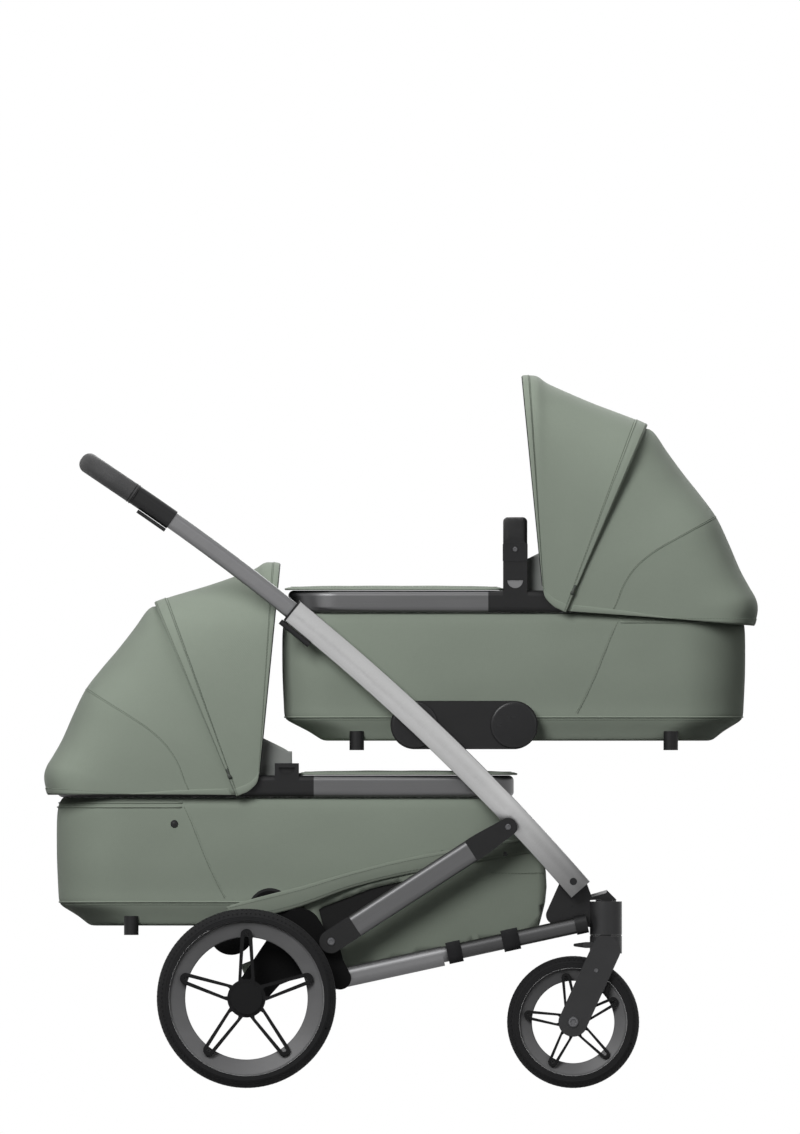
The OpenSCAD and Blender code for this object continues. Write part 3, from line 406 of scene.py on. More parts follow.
def plastic(name, shade, roughness=0.45, scuff=0.35, shine=0.22):
    values = {"Colour": shade, "Roughness": roughness, "Scuff": scuff}
    return material(name, grain_group(), "Object", values, 0.00012, {"Specular IOR Level": shine})


def metal(name, shade, turn, roughness=0.3, dark_from=9.0, dark_slope=150.0, dark_depth=0.6):
    """Drawn tube with its lines turned about Y, darker past a place along X."""
    values = {"Colour": shade, "Roughness": roughness, "Turn": turn,
              "Dark from": dark_from, "Dark slope": dark_slope, "Dark depth": dark_depth}
    return material(name, drawn_metal_group(), "Object", values, 0.00004, {"Metallic": 1.0})


def leather(name, shade, shine=0.4):
    return material(name, leather_group(), "Object", {"Colour": shade}, 0.00035,
                    {"Specular IOR Level": shine})


def rubber(end):
    x, _, z, _ = WHEELS[end]
    return material("Tyre rubber " + end, rubber_group(), "Object",
                    {"Colour": colours().tyre, "Centre": (x / 1000, 0, z / 1000)}, 0.00025,
                    {"Specular IOR Level": 0.2})


def finish(key):
    c = colours()
    makers = {
        "cloth": lambda: cloth("Sage cloth", c.cloth),
        "basket": lambda: cloth("Basket cloth", c.basket, 0.12),
        "lining": lambda: cloth("Lining", c.lining, 0.06, 0.05),
        # Black for the basket's inside: its lining, and painted shade in its opening.
        "basket_lining_and_shade": lambda: cloth("Black lining", (0.012, 0.012, 0.012), 0.06, 0.03),
        "cotton": lambda: cloth("Cotton", c.cotton, 0.05),
        "webbing": lambda: cloth("Black webbing", (0.014, 0.014, 0.015), 0.15, 0.03),
        "thread": lambda: plastic("Thread", c.thread, 0.8, 0.2),
        "black_thread": lambda: plastic("Black thread", (0.05, 0.05, 0.052), 0.7, 0.2),
        "black": lambda: plastic("Black moulding", c.black),
        "ring": lambda: plastic("Wheel ring grey", c.ring, 0.4, 0.3),
        "pale": lambda: plastic("Pale cap", (0.52, 0.52, 0.52), 0.4),
        # Pale grey for the painted highlight on the tops of the wheel releases.
        "gloss": lambda: plastic("Knuckle black", (0.02, 0.02, 0.021), 0.25),
        "pull": lambda: plastic("Zip pull", (0.07, 0.08, 0.068), 0.4),
        "screw": lambda: metal("Dark screw steel", (0.11, 0.11, 0.115), 0.0, 0.35),
    }
    return makers[key]()


def node_finishes():
    """Every node that shows gets a finish of its own kind."""
    c = colours()
    strut = math.atan2(STRUT_TIP[1] - STRUT_FOOT[1], STRUT_TIP[0] - STRUT_FOOT[0])
    rim = metal("Rim silver", (0.108, 0.108, 0.11), 0.0, 0.33)
    # Hub plates, lower adapters and brake pedal get a darker copy of the black plastic: painted shade.
    shaded_hub_black = plastic("Hub black", tuple(0.4 * v for v in c.black), 0.6, 0.35, 0.06)
    # Forks and swivel housings get a lighter copy of the black plastic: painted highlight.
    fork = plastic("Fork black", tuple(2.4 * v for v in c.black), 0.38, 0.35, 0.3)
    by_node = {
        # The masts' colour goes darker past 0.175 m along X: painted shade standing in for the bowed tube's
        # reflections.
        "masts": metal("Bowed silver tube", c.silver, -math.radians(136), 0.26, 0.175, 8.0, 0.72),
        "slide_tubes": metal("Sliding silver tube", (0.16, 0.16, 0.163), -math.radians(142), 0.34),
        "strut_tubes": metal("Strut silver", (0.102, 0.102, 0.104), strut, 0.36),
        "lower_tubes": metal("Lower tube silver", (0.155, 0.155, 0.158), LOWER_SLOPE, 0.36, 0.07),
        "carry_bar": leather("Carry bar leatherette", (0.016, 0.016, 0.0165), 0.2),
        "upper_rim": rim, "lower_rim": rim,
        "rear_hubs": shaded_hub_black, "lower_adapters": shaded_hub_black, "brake_pedal": shaded_hub_black,
        "fork_left": fork, "fork_right": fork, "swivel_housings": fork,
    }
    by_slot = {
        "wheel_grey": finish("ring"),
        # The spokes are darker than the black plastic: painted shade.
        "wheel_black": plastic("Spoke black", (0.008, 0.008, 0.0085), 0.4, 0.3, 0.12),
        "grip_leather": leather("Black leatherette", c.grip),
        "dark_steel": plastic("Black powder coat", (0.02, 0.02, 0.021), 0.5),
        "button_grey": plastic("Button grey", (0.3, 0.3, 0.305), 0.42),
        "bow_plastic": plastic("Bow black", (0.03, 0.03, 0.031), 0.5),
    }
    for name, obj in NODES.items():
        if SLOTS[name] == "tyre":
            made = rubber(name.split("_")[0])
        else:
            made = by_node.get(name) or by_slot.get(SLOTS[name]) or finish("black")
        if not obj.material_slots:
            obj.data.materials.append(made)
        for slot in obj.material_slots:
            slot.material = made


# Mesh helpers
def new_object(name, data):
    obj = bpy.data.objects.new(name, data)
    bpy.context.scene.collection.objects.link(obj)
    return obj


def set_uv(mesh, uv):
    index = np.empty(len(mesh.loops), int)
    mesh.loops.foreach_get("vertex_index", index)
    mesh.uv_layers.new(name="cloth").data.foreach_set("uv", np.asarray(uv, float)[index].ravel())


def new_piece(name, points, faces, body, materials, uv=None, smooth=True, flip=False):
    """A mesh from points in metres that rides on a body."""
    mesh = bpy.data.meshes.new(name)
    faces = [tuple(int(i) for i in (reversed(f) if flip else f)) for f in faces]
    mesh.from_pydata([tuple(map(float, p)) for p in points], [], faces)
    if uv is not None:
        set_uv(mesh, uv)
    for m in materials:
        mesh.materials.append(m)
    mesh.polygons.foreach_set("use_smooth", [smooth] * len(mesh.polygons))
    mesh.update()
    obj = new_object(name, mesh)
    if body:
        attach(obj, body)
    return obj


def outward(obj, turn=True):
    """Merges doubles, and turns the normals of closed shells out."""
    b = bmesh.new()
    b.from_mesh(obj.data)
    bmesh.ops.remove_doubles(b, verts=b.verts, dist=1e-6)
    if turn:
        bmesh.ops.recalc_face_normals(b, faces=b.faces)
    b.to_mesh(obj.data)
    b.free()
    obj.data.update()
    return obj


def shell(name, points, faces, body, key, uv=None, slot=None, smooth=True, flip=False):
    """A piece of closed shells in one finish."""
    obj = outward(new_piece(name, points, faces, body, [finish(key)], uv, smooth, flip))
    return obj


def bake(obj):
    """Turns an object's modifiers into its plain mesh."""
    bpy.context.view_layer.update()
    made = bpy.data.meshes.new_from_object(obj.evaluated_get(bpy.context.evaluated_depsgraph_get()))
    obj.modifiers.clear()
    old, name = obj.data, obj.data.name
    obj.data = made
    bpy.data.meshes.remove(old)
    made.name = name
    return obj


def make_sheet(obj, thick, stands_for):
    """Gives cloth its thickness and says its cut: area over width, with a quarter to spare."""
    wall = obj.modifiers.new("Wall", "SOLIDIFY")
    wall.thickness, wall.offset, wall.material_offset = thick, -1, 1
    bake(obj)
    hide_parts(stands_for)


def grid_faces(m, n, wrap=False, loop=False):
    """Faces of m rows of n points; wrap closes each row, and loop joins the last row to the first."""
    return [(j * n + i, j * n + (i + 1) % n, (j + 1) % m * n + (i + 1) % n, (j + 1) % m * n + i)
            for j in range(m if loop else m - 1) for i in range(n if wrap else n - 1)]


def capped_faces(m, n):
    """Faces of m closed rows of n points, with both ends capped."""
    return grid_faces(m, n, True) + [tuple(reversed(range(n))), tuple((m - 1) * n + k for k in range(n))]


def closed(points):
    return np.vstack([points, points[:1]])


def lift(plan, z):
    """A plan's points at a height."""
    return np.column_stack([plan, np.full(len(plan), z)])


def side_uv(p):
    return np.stack([p[:, 0] + p[:, 1], p[:, 2]], -1) / 1000


def unit(v):
    return v / np.linalg.norm(v, axis=-1, keepdims=True)


def path_lengths(points, axis=0):
    """Distance walked along one axis of a list or grid of points."""
    d = np.linalg.norm(np.diff(points, axis=axis), axis=-1)
    return np.cumsum(np.insert(d, 0, 0, axis=axis), axis=axis)


def resample(points, count):
    points = np.asarray(points, float)
    s = path_lengths(points)
    at = np.linspace(0, s[-1], count)
    return np.stack([np.interp(at, s, points[:, k]) for k in range(points.shape[1])], -1)


def smooth_curve(rows, count):
    """Even points on a smooth curve through rows."""
    rows = np.asarray(rows, float)
    p = np.vstack([2 * rows[0] - rows[1], rows, 2 * rows[-1] - rows[-2]])
    points = []
    for a, b, c, d in zip(p, p[1:], p[2:], p[3:]):
        for t in np.linspace(0, 1, 24, endpoint=False):
            bend = (2 * a - 5 * b + 4 * c - d) * t**2 + (3 * b - a - 3 * c + d) * t**3
            points.append(0.5 * (2 * b + (c - a) * t + bend))
    points.append(rows[-1])
    return resample(points, count)


def tube(points, r, sides=6, loop=False):
    """Rings round a path and their faces."""
    p = np.asarray(points, float)
    d = np.roll(p, -1, 0) - np.roll(p, 1, 0)
    if not loop:
        d[0], d[-1] = p[1] - p[0], p[-1] - p[-2]
    d = unit(d)
    side = np.cross(d[0], (0, 0, 1) if abs(d[0][2]) < 0.9 else (0, 1, 0))
    turn = -2 * math.pi * np.arange(sides)[:, None] / sides
    rings = []
    for spot, way in zip(p, d):
        side = unit(side - way * np.dot(side, way))
        rings.append(spot + r * (np.cos(turn) * side + np.sin(turn) * np.cross(way, side)))
    faces = grid_faces(len(p), sides, True, True) if loop else capped_faces(len(p), sides)
    return np.vstack(rings), faces


def joined(parts):
    """One list of points and faces from several."""
    points, faces, at = [], [], 0
    for p, f in parts:
        points.append(np.asarray(p, float))
        faces += [tuple(i + at for i in face) for face in f]
        at += len(p)
    return np.vstack(points), faces


def prism(outline, low, high):
    """A closed slab over an outline in the side view, between two planes across."""
    n = len(outline)
    p = np.array([(x, y, z) for y in (low, high) for x, z in outline])
    walls = [(i, i + n, (i + 1) % n + n, (i + 1) % n) for i in range(n)]
    return p, [tuple(range(n)), tuple(range(2 * n - 1, n - 1, -1))] + walls


def lathe(profile, segments=24, hexed=()):
    """A closed turning round Z; profile rows are radius and height, and rows in hexed are six-sided."""
    turn = 2 * math.pi * np.arange(segments) / segments
    six = math.cos(math.pi / 6) / np.cos(turn % (math.pi / 3) - math.pi / 6)
    rings = []
    for row, (r, z) in enumerate(profile):
        g = r * (six if row in hexed else 1)
        rings.append(np.column_stack([g * np.cos(turn), g * np.sin(turn), np.full(segments, z)]))
    return np.vstack(rings), capped_faces(len(profile), segments)


def hoop(profile, segments):
    """A ring round Z; profile rows go round its section."""
    return lathe(profile, segments)[0], grid_faces(len(profile), segments, True, True)


def turned(profile, x, y, z, side, segments, shape=lathe):
    """A turning round a line across the pram; profile rows are radius and distance outwards."""
    p, f = shape(profile, segments)
    return np.column_stack([x + p[:, 0], side * (y + p[:, 2]), z + p[:, 1]]) / 1000, f


def place(cot, points):
    """Points of a cot's own frame in the pram's frame, in metres."""
    x, z, s = COTS[cot]
    p = np.asarray(points, float)
    return np.stack([x + s * p[..., 0], p[..., 1], z + p[..., 2]], -1) / 1000


def cot_trim(name, cot, body, points, faces, put=place):
    """Closed trim in the cots' cloth, from points in a cot's own frame."""
    shell(name, put(cot, points), faces, body, "cloth", side_uv(points), "green_cloth", flip=COTS[cot][2] < 0)


# Geometry Nodes for what repeats
def geometry_tree(name, inputs, build):
    """A tree made once; build takes it and its inputs and gives the instances."""
    if name in bpy.data.node_groups:
        return bpy.data.node_groups[name]
    tree = bpy.data.node_groups.new(name, "GeometryNodeTree")
    tree.is_modifier = True
    tree.interface.new_socket(name="Geometry", in_out="OUTPUT", socket_type="NodeSocketGeometry")
    for label, kind in inputs.items():
        tree.interface.new_socket(name=label, in_out="INPUT", socket_type="NodeSocket" + kind)
    given = tree.nodes.new("NodeGroupInput")
    i = {label: out(given, label) for label in inputs}
    real = node(tree, "GeometryNodeRealizeInstances", {0: build(tree, i)})
    paint = node(tree, "GeometryNodeSetMaterial", {"Geometry": out(real), "Material": i["Material"]})
    node(tree, "NodeGroupOutput", {0: out(paint)})
    return tree


def rod_tree(name, follow):
    """Short rods along paths, which follow the path or lie across the pram."""
    def build(t, i):
        curve = node(t, "GeometryNodeMeshToCurve", {"Mesh": i["Paths"]})
        spaced = {"Curve": out(curve), "Length": i["Pitch"]}
        even = node(t, "GeometryNodeResampleCurve", spaced, mode="LENGTH")
        size = {"Vertices": 6, "Radius": i["Radius"], "Depth": i["Length"]}
        rod = node(t, "GeometryNodeMeshCylinder", size)
        turn = (math.pi / 2, 0, 0)
        if follow:
            way = out(node(t, "GeometryNodeInputTangent"))
            turn = out(node(t, "FunctionNodeAlignRotationToVector", {"Vector": way}, axis="Z"))
        return out(node(t, "GeometryNodeInstanceOnPoints", {
            "Points": out(even), "Instance": out(rod, "Mesh"), "Rotation": turn}))

    return geometry_tree(name, {"Paths": "Geometry", "Pitch": "Float", "Length": "Float", "Radius": "Float",
                                "Material": "Material"}, build)


def screw_tree():
    def build(t, i):
        def value(name):
            made = node(t, "GeometryNodeInputNamedAttribute", {"Name": name}, data_type="FLOAT")
            return out(made, "Attribute")

        head = node(t, "GeometryNodeObjectInfo", {"Object": i["Screw"]})
        angle = node(t, "ShaderNodeCombineXYZ", {"X": value("side") * (-math.pi / 2)})
        return out(node(t, "GeometryNodeInstanceOnPoints", {
            "Points": i["Points"], "Instance": out(head, "Geometry"), "Rotation": out(angle),
            "Scale": value("radius")}))

    inputs = {"Points": "Geometry", "Screw": "Object", "Material": "Material"}
    return geometry_tree("Screws at points", inputs, build)


def run_tree(obj, tree, values):
    made = obj.modifiers.new("Repeat", "NODES")
    made.node_group = tree
    sockets = [s for s in tree.interface.items_tree if s.item_type == "SOCKET" and s.in_out == "INPUT"]
    ids = {s.name: s.identifier for s in sockets}
    for key, value in values.items():
        made[ids[key]] = value
    return bake(obj)


def rods(name, body, paths, tree, values):
    """One piece of rods for one body; each path is a list of points in metres."""
    points, edges, at = [], [], 0
    for p in paths:
        points += [tuple(map(float, q)) for q in p]
        edges += [(at + i, at + i + 1) for i in range(len(p) - 1)]
        at += len(p)
    mesh = bpy.data.meshes.new(name)
    mesh.from_pydata(points, edges, [])
    obj = run_tree(new_object(name, mesh), tree, values)
    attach(obj, body)
    return obj


def stitches(name, body, paths, key="thread", scale=1.0):
    s = sizes()
    return rods(name, body, paths, rod_tree("Stitches along paths", True), {
        "Pitch": s.stitch_pitch * scale, "Length": s.stitch * scale, "Radius": s.stitch_r * scale,
        "Material": finish(key)})


# Hoods
class Surface:
    """A hood section as an even grid of points and outward normals, read at shares along it and across it."""

    rows, columns, middle = 120, 121, 60

    def __init__(self, stations, half, rise):
        curve = [(bu, bw + rise * bu, tu, tw + rise * tu, q) for bu, bw, tu, tw, q in stations]
        self.grid = np.stack([self.arch(row, half) for row in smooth_curve(curve, self.rows)])
        n = np.cross(np.gradient(self.grid, axis=0), np.gradient(self.grid, axis=1))
        self.normal = n / (np.linalg.norm(n, axis=-1)[..., None] + 1e-12)

    def arch(self, row, half):
        bu, bw, tu, tw, power = row
        turn = np.linspace(-math.pi / 2, math.pi / 2, 1201)
        up = np.abs(np.cos(turn)) ** (2 / power)
        y = half * np.sign(turn) * np.abs(np.sin(turn)) ** (2 / power)
        return resample(np.stack([bu + (tu - bu) * up, y, bw + (tw - bw) * up], -1), self.columns)

    def at(self, t, a, h=0.0):
        """Points at shares t along and a across, h above the surface."""
        t = np.clip(np.asarray(t, float), 0, 1) * (self.rows - 1)
        a = np.clip(np.asarray(a, float), 0, 1) * (self.columns - 1)
        i, j = np.minimum(t.astype(int), self.rows - 2), np.minimum(a.astype(int), self.columns - 2)
        f, g = (t - i)[..., None], (a - j)[..., None]

        def mix(m):
            near, far = m[i, j] * (1 - f) + m[i + 1, j] * f, m[i, j + 1] * (1 - f) + m[i + 1, j + 1] * f
            return near * (1 - g) + far * g

        return mix(self.grid) + np.asarray(h, float)[..., None] * mix(self.normal)

    def across(self, u, w):
        """Shares (t, a) on the left half whose point lies at u, w in the side view."""
        half = self.grid[:, self.middle:]
        d = (half[..., 0] - u) ** 2 + (half[..., 2] - w) ** 2
        i, j = np.unravel_index(np.argmin(d), d.shape)
        return i / (self.rows - 1), (j + self.middle) / (self.columns - 1)


def hood_place(cot, points):
    return place(cot, np.asarray(points, float) + np.array([PIVOT[0], 0, PIVOT[1]]))


def pairs(t, a):
    return np.stack(np.broadcast_arrays(np.asarray(t, float), np.asarray(a, float)), -1)


def ribbon(surface, one, two):
    """A closed hem on a surface between two paths of shares."""
    lines = [one + (two - one) * f for f, _ in HEM]
    p = np.stack([surface.at(s[:, 0], s[:, 1], h) for s, (_, h) in zip(lines, HEM)], 1)
    return p.reshape(-1, 3), capped_faces(*p.shape[:2])


def bridge(one, two, beyond, thick=1.2):
    """A closed strip of cloth between two paths, thickened towards a third."""
    off = unit(beyond - one) * thick
    p = np.stack([one, two, two + off, one + off], 1)
    return p.reshape(-1, 3), capped_faces(len(p), 4)


def rear_seam(surface, rise):
    """The seam of a rear section: shares across it from its middle to one side, and shares along it."""
    line = smooth_curve([(u, w + rise * u) for u, w in REAR_SEAM], 60)
    marks = np.array([surface.across(u, w) for u, w in line])
    marks = marks[np.argsort(marks[:, 1])]
    a = np.linspace(0.5, marks[-1, 1], 80)
    t = np.interp(a, marks[:, 1], marks[:, 0])
    mirrored = np.concatenate([t[6:0:-1], t, np.full(6, t[-1])])
    return a, np.convolve(mirrored, np.ones(13) / 13, "valid")


def hood_sheet(cot, part, surface, body, rests_on, m, seam=None):
    """One section of a hood as a stretched sheet that draws in between its arches and its seam."""
    s = sizes()
    n = s.arch_steps + 1
    t, a = np.meshgrid(np.linspace(0, 1, m), np.linspace(0, 1, n), indexing="ij")
    span = np.sin(math.pi * t)
    if seam:
        sewn = np.interp(np.abs(a - 0.5) + 0.5, *seam)
        span = np.where(t < sewn, np.sin(math.pi * t / sewn), np.sin(math.pi * (t - sewn) / (1 - sewn)))
    cheek = np.exp(-(((np.abs(a - 0.5) - 0.24) / 0.13) ** 2))
    wave = 0.4 * np.sin(9.0 * a + 5.0 * t) * np.sin(7.0 * t + 2.0 * a)
    clear = np.clip((surface.at(t, a)[..., 2] - 45) / 60, 0, 1)
    p = surface.at(t, a, (wave - cheek * 3.0) * span * clear)
    uv = np.stack([path_lengths(p, 0), path_lengths(p, 1)], -1) / 1000
    obj = new_piece(f"{cot}_hood_{part}_cloth", hood_place(cot, p).reshape(-1, 3), grid_faces(m, n), body,
                    [finish("cloth"), finish("lining")], uv.reshape(-1, 2), flip=COTS[cot][2] < 0)
    obj.data.flip_normals()
    make_sheet(obj, s.cloth_t, f"{cot}_hood_{part}")


def hood_pieces(cot):
    """Both sections of a hood with hems, seam, stitches, edge binding and zip pulls."""
    rise = HOOD_RISE[cot]
    front, rear = Surface(HOOD_FRONT, HOOD_W, rise), Surface(HOOD_REAR, HOOD_W - HOOD_LAP, rise)
    seam_a, seam_t = rear_seam(rear, rise)
    hood_sheet(cot, "front", front, cot + "_hood", cot + "_hood_bow", 44)
    hood_sheet(cot, "rear", rear, cot + "_cot", cot + "_head_frame", 60, (seam_a, seam_t))
    ends = np.linspace(0.004, 0.996, 150)
    sewn_t = np.concatenate([seam_t[:0:-1], seam_t])
    sewn_a = np.concatenate([1 - seam_a[:0:-1], seam_a])
    trims = {
        "hood": [ribbon(front, pairs(t, ends), pairs(u, ends)) for t, u in FRONT_HEMS],
        "cot": [ribbon(rear, *(pairs(t, ends) for t in REAR_HEM)),
                bridge(rear.at(0.0, ends, -0.6), front.at(0.955, ends, -3.6), rear.at(0.02, ends)),
                tube(resample(rear.at(sewn_t, sewn_a, 0.1), 160), 0.7)],
    }
    for a, b in ((0.0, SIDE_HEM), (1.0, 1 - SIDE_HEM)):
        for part, surface, first, last in (("hood", front, 0, 1), ("cot", rear, 0.06, 0.99)):
            t = np.linspace(first, last, 70)
            trims[part].append(ribbon(surface, pairs(t, a), pairs(t, b)))
    for part, shapes in trims.items():
        p, f = joined(shapes)
        cot_trim(f"{cot}_{part}_trim", cot, f"{cot}_{part}", p, f, hood_place)
    sewn = [front.at(t, ends, h) for t, h in HOOD_STITCHES]
    stitches(cot + "_hood_stitches", cot + "_hood", hood_place(cot, sewn))
    stitches(cot + "_cot_stitches", cot + "_cot", [
        hood_place(cot, rear.at(0.97, ends, 1.0)), hood_place(cot, rear.at(sewn_t - 0.006, sewn_a, 0.15))])
    p, f = tube(front.at(0.0, ends, -1.6), 1.4)
    shell(cot + "_hood_edge_binding", hood_place(cot, p), f, cot + "_hood", "webbing",
          np.column_stack([p[:, 1], p[:, 0] + p[:, 2]]) / 1000, "black_plastic", flip=COTS[cot][2] < 0)
    zip_pulls(cot, front)


def zip_pulls(cot, surface):
    """A slider and its tab on each side, near the hood's pivot."""
    parts = []
    turn = 2 * math.pi * np.arange(8)[:, None] / 8
    for a, s in ((0.036, -1), (0.964, 1)):
        rings = []
        for f, w, h in ZIP_PULL:
            marks = ((0.95, 1.4), (0.99, 1.4), (0.95, 2.4))
            spot, ahead, above = (surface.at(t, a - s * f, up) for t, up in marks)
            rise = (above - spot) * h * 0.5 * (1 + np.sin(turn))
            rings.append(spot + unit(ahead - spot) * w * np.cos(turn) + rise)
        parts.append((np.vstack(rings), capped_faces(len(ZIP_PULL), 8)))
    p, f = joined(parts)
    shell(cot + "_zip_pulls", hood_place(cot, p), f, cot + "_hood", "pull")


# Tubs, aprons and mattresses
def plan_loop(foot, head, half, foot_r, head_r, count):
    """Even points round a plan with its own corner radius at the foot end and at the head end."""
    corners = [(head - head_r, head_r - half, head_r, -90), (head - head_r, half - head_r, head_r, 0),
               (foot_r - foot, half - foot_r, foot_r, 90), (foot_r - foot, foot_r - half, foot_r, 180)]
    points = [(x + r * math.cos(a), y + r * math.sin(a)) for x, y, r, start in corners
              for a in np.radians(np.linspace(start, start + 90, 11))]
    return resample(points + points[:1], count + 1)[:-1]


def tub_size(z, column):
    return float(np.interp(z, [r[0] for r in TUB], [r[column] for r in TUB]))


def tub_loop(z, grow, count):
    foot, head, half = (tub_size(z, k) + grow for k in (1, 2, 3))
    return lift(plan_loop(foot, head, half, FOOT_R + grow, HEAD_R + grow, count), z)


def inset_loop(plan, inset, least, z, count):
    """A plan moved in, with no corner below the least radius, at a height."""
    foot, head, half, foot_r, head_r = (v - inset for v in plan)
    return lift(plan_loop(foot, head, half, max(foot_r, least), max(head_r, least), count), z)


def tub_pieces(cot):
    """A tub's cloth with its piping, side seams and stitches."""
    flip, n = COTS[cot][2] < 0, 240
    levels = smooth_curve(TUB, 46)
    _, foot, head, half = levels[0]
    rings = [lift(plan_loop(foot - d, head - d, half - d, FOOT_R - d * 0.4, HEAD_R - d * 0.4, n), 0)
             for d in (120, 60, 20)]
    i = np.arange(n)
    for z, foot, head, half in levels:
        ring = lift(plan_loop(foot, head, half, FOOT_R, HEAD_R, n), z)
        soft = 0.8 * math.sin(math.pi * min(max((z - 75) / 130, 0), 1))
        ring[:, 1] += np.sign(ring[:, 1]) * soft * np.sin(i * 0.21) * np.sin(i * 0.047 + z * 0.03)
        rings.append(ring)
    p = np.array([closed(r) for r in rings])
    m = len(p)
    uv = np.stack([np.tile(path_lengths(p[-1]), (m, 1)), path_lengths(p)], -1) / 1000
    obj = new_piece(cot + "_tub_cloth", place(cot, p).reshape(-1, 3),
                    grid_faces(m, n + 1) + [tuple(reversed(range(n)))], cot + "_cot",
                    [finish("cloth"), finish("lining")], uv.reshape(-1, 2), flip=flip)
    outward(obj, False)
    rests_on = [cot + "_rim", cot + "_head_frame"]
    make_sheet(obj, TUB_WALL / 1000, cot + "_tub")
    parts = [tube(tub_loop(BASE_PIPING_Z, 0.5, n), 1.5, loop=True)]
    for z in HEAD_PIPING_Z:
        head = tub_loop(z, 1.0, n)
        head = head[head[:, 0] > HEAD_FROM]
        parts.append(tube(head[np.argsort(np.arctan2(head[:, 1], head[:, 0] - HEAD_FROM))], 1.5))
    sewn = [place(cot, closed(tub_loop(BASE_STITCH_Z, 0.6, n)))]
    for k in (-1, 1):
        line = np.array([(u, k * (tub_size(z, 3) + 0.1), z) for u, z in smooth_curve(TUB_SEAM, 40)])
        parts.append(tube(line, 0.45))
        sewn.append(place(cot, line + np.array([3.0, k * 0.5, 0])))
    p, f = joined(parts)
    cot_trim(cot + "_tub_piping", cot, cot + "_cot", p, f)
    stitches(cot + "_tub_stitches", cot + "_cot", sewn)


def apron_pieces(cot):
    """An apron over the foot end with a raised wind flap and its side walls."""
    flip, n = COTS[cot][2] < 0, 200
    rings = []
    for inset, z in APRON:
        ring = inset_loop(APRON_PLAN, inset, 5, z, n)
        if 20 < inset < 140:
            ring[:, 2] += 0.5 * np.sin(ring[:, 0] * 0.035) * np.sin(ring[:, 1] * 0.05)
        rings.append(ring)
    m = len(rings)
    shells = [(np.vstack(rings), grid_faces(m, n, True) + [tuple((m - 1) * n + k for k in range(n))])]
    flap = smooth_curve(FLAP, 34)
    strip = np.array([(u, y, z) for u, z in flap for y in np.linspace(-FLAP_HALF, FLAP_HALF, 40)])
    shells.append((strip, [tuple(reversed(f)) for f in grid_faces(34, 40)]))
    us = np.linspace(-6.3, 53.5, 18)
    rises = np.interp(us, flap[16:, 0], flap[16:, 1]) - 0.6 - FLAP_FOOT
    for k in (-1, 1):
        wall = np.array([(u, k * (FLAP_HALF + 0.6), FLAP_FOOT + rise * f)
                         for u, rise in zip(us, rises) for f in np.linspace(0, 1, 12)])
        shells.append((wall, [f if k < 0 else tuple(reversed(f)) for f in grid_faces(18, 12)]))
    p, f = joined(shells)
    obj = new_piece(cot + "_apron_cloth", place(cot, p), f, cot + "_cot", [finish("cloth"), finish("lining")],
                    np.stack([p[:, 0] + p[:, 2], p[:, 1]], -1) / 1000, flip=flip)
    rests_on = [cot + "_rim", cot + "_head_frame"]
    make_sheet(obj, sizes().cloth_t, cot + "_apron")
    p, f = tube(lift(plan_loop(*APRON_EDGE, n), APRON_EDGE_Z), 1.7, 8, True)
    cot_trim(cot + "_apron_piping", cot, cot + "_cot", p, f)
    run = lift(plan_loop(*APRON_SEWN, n), APRON_SEWN_Z)
    stitches(cot + "_apron_stitches", cot + "_cot", [place(cot, closed(run))])


def vertex_places(obj):
    places = np.empty(len(obj.data.vertices) * 3)
    obj.data.vertices.foreach_get("co", places)
    return places.reshape(-1, 3)


def mattress_piece(cot):
    """A stuffed pad, swollen by a short cloth simulation and dented where it is tufted."""
    n = 120
    rings = [inset_loop(MATTRESS_PLAN, inset, 8, z, n) for inset, z in MATTRESS]
    obj = new_piece(cot + "_mattress_pad", place(cot, rings).reshape(-1, 3),
                    capped_faces(len(MATTRESS), n), None, [finish("cotton")], flip=COTS[cot][2] < 0)
    grid = obj.modifiers.new("Even", "REMESH")
    grid.mode, grid.voxel_size, grid.use_smooth_shade = "VOXEL", 0.009, True
    bake(obj)
    start = vertex_places(obj)
    swell = obj.modifiers.new("Swell", "CLOTH")
    swell.settings.use_pressure = True
    swell.settings.uniform_pressure_force = 4
    swell.settings.effector_weights.gravity = 0
    swell.settings.quality = 4
    swell.point_cache.frame_start, swell.point_cache.frame_end = 1, 14
    for f in range(1, 15):
        bpy.context.scene.frame_set(f)
    bake(obj)
    bpy.context.scene.frame_set(1)
    move = vertex_places(obj) - start
    far = np.linalg.norm(move, axis=1)[:, None]
    p = start + move * np.minimum(1, 0.005 / np.maximum(far, 1e-9))
    x, z, _ = COTS[cot]
    p[:, 2] = np.maximum(p[:, 2], (z + PAD_LOW) / 1000)
    dent = np.sin((p[:, 0] - x / 1000) * 52) ** 12 + np.sin(p[:, 1] * 52) ** 12
    p[:, 2] -= np.where(p[:, 2] > (z + PAD_TOP) / 1000, 0.0022 * np.clip(dent, 0, 1), 0)
    obj.data.vertices.foreach_set("co", p.ravel())
    set_uv(obj.data, p[:, :2])
    obj.data.materials.clear()
    obj.data.materials.append(finish("cotton"))
    obj.data.update()
    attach(obj, cot + "_cot")
    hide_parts(cot + "_mattress")


# Basket
def inside(point, polygon):
    hit, j = False, len(polygon) - 1
    for i, (xi, yi) in enumerate(polygon):
        xj, yj = polygon[j]
        if (yi > point[1]) != (yj > point[1]) and point[0] < (xj - xi) * (point[1] - yi) / (yj - yi) + xi:
            hit = not hit
        j = i
    return hit


def in_basket_side(point):
    return inside(point, BASKET_SIDE) and not inside(point, BASKET_GAP)


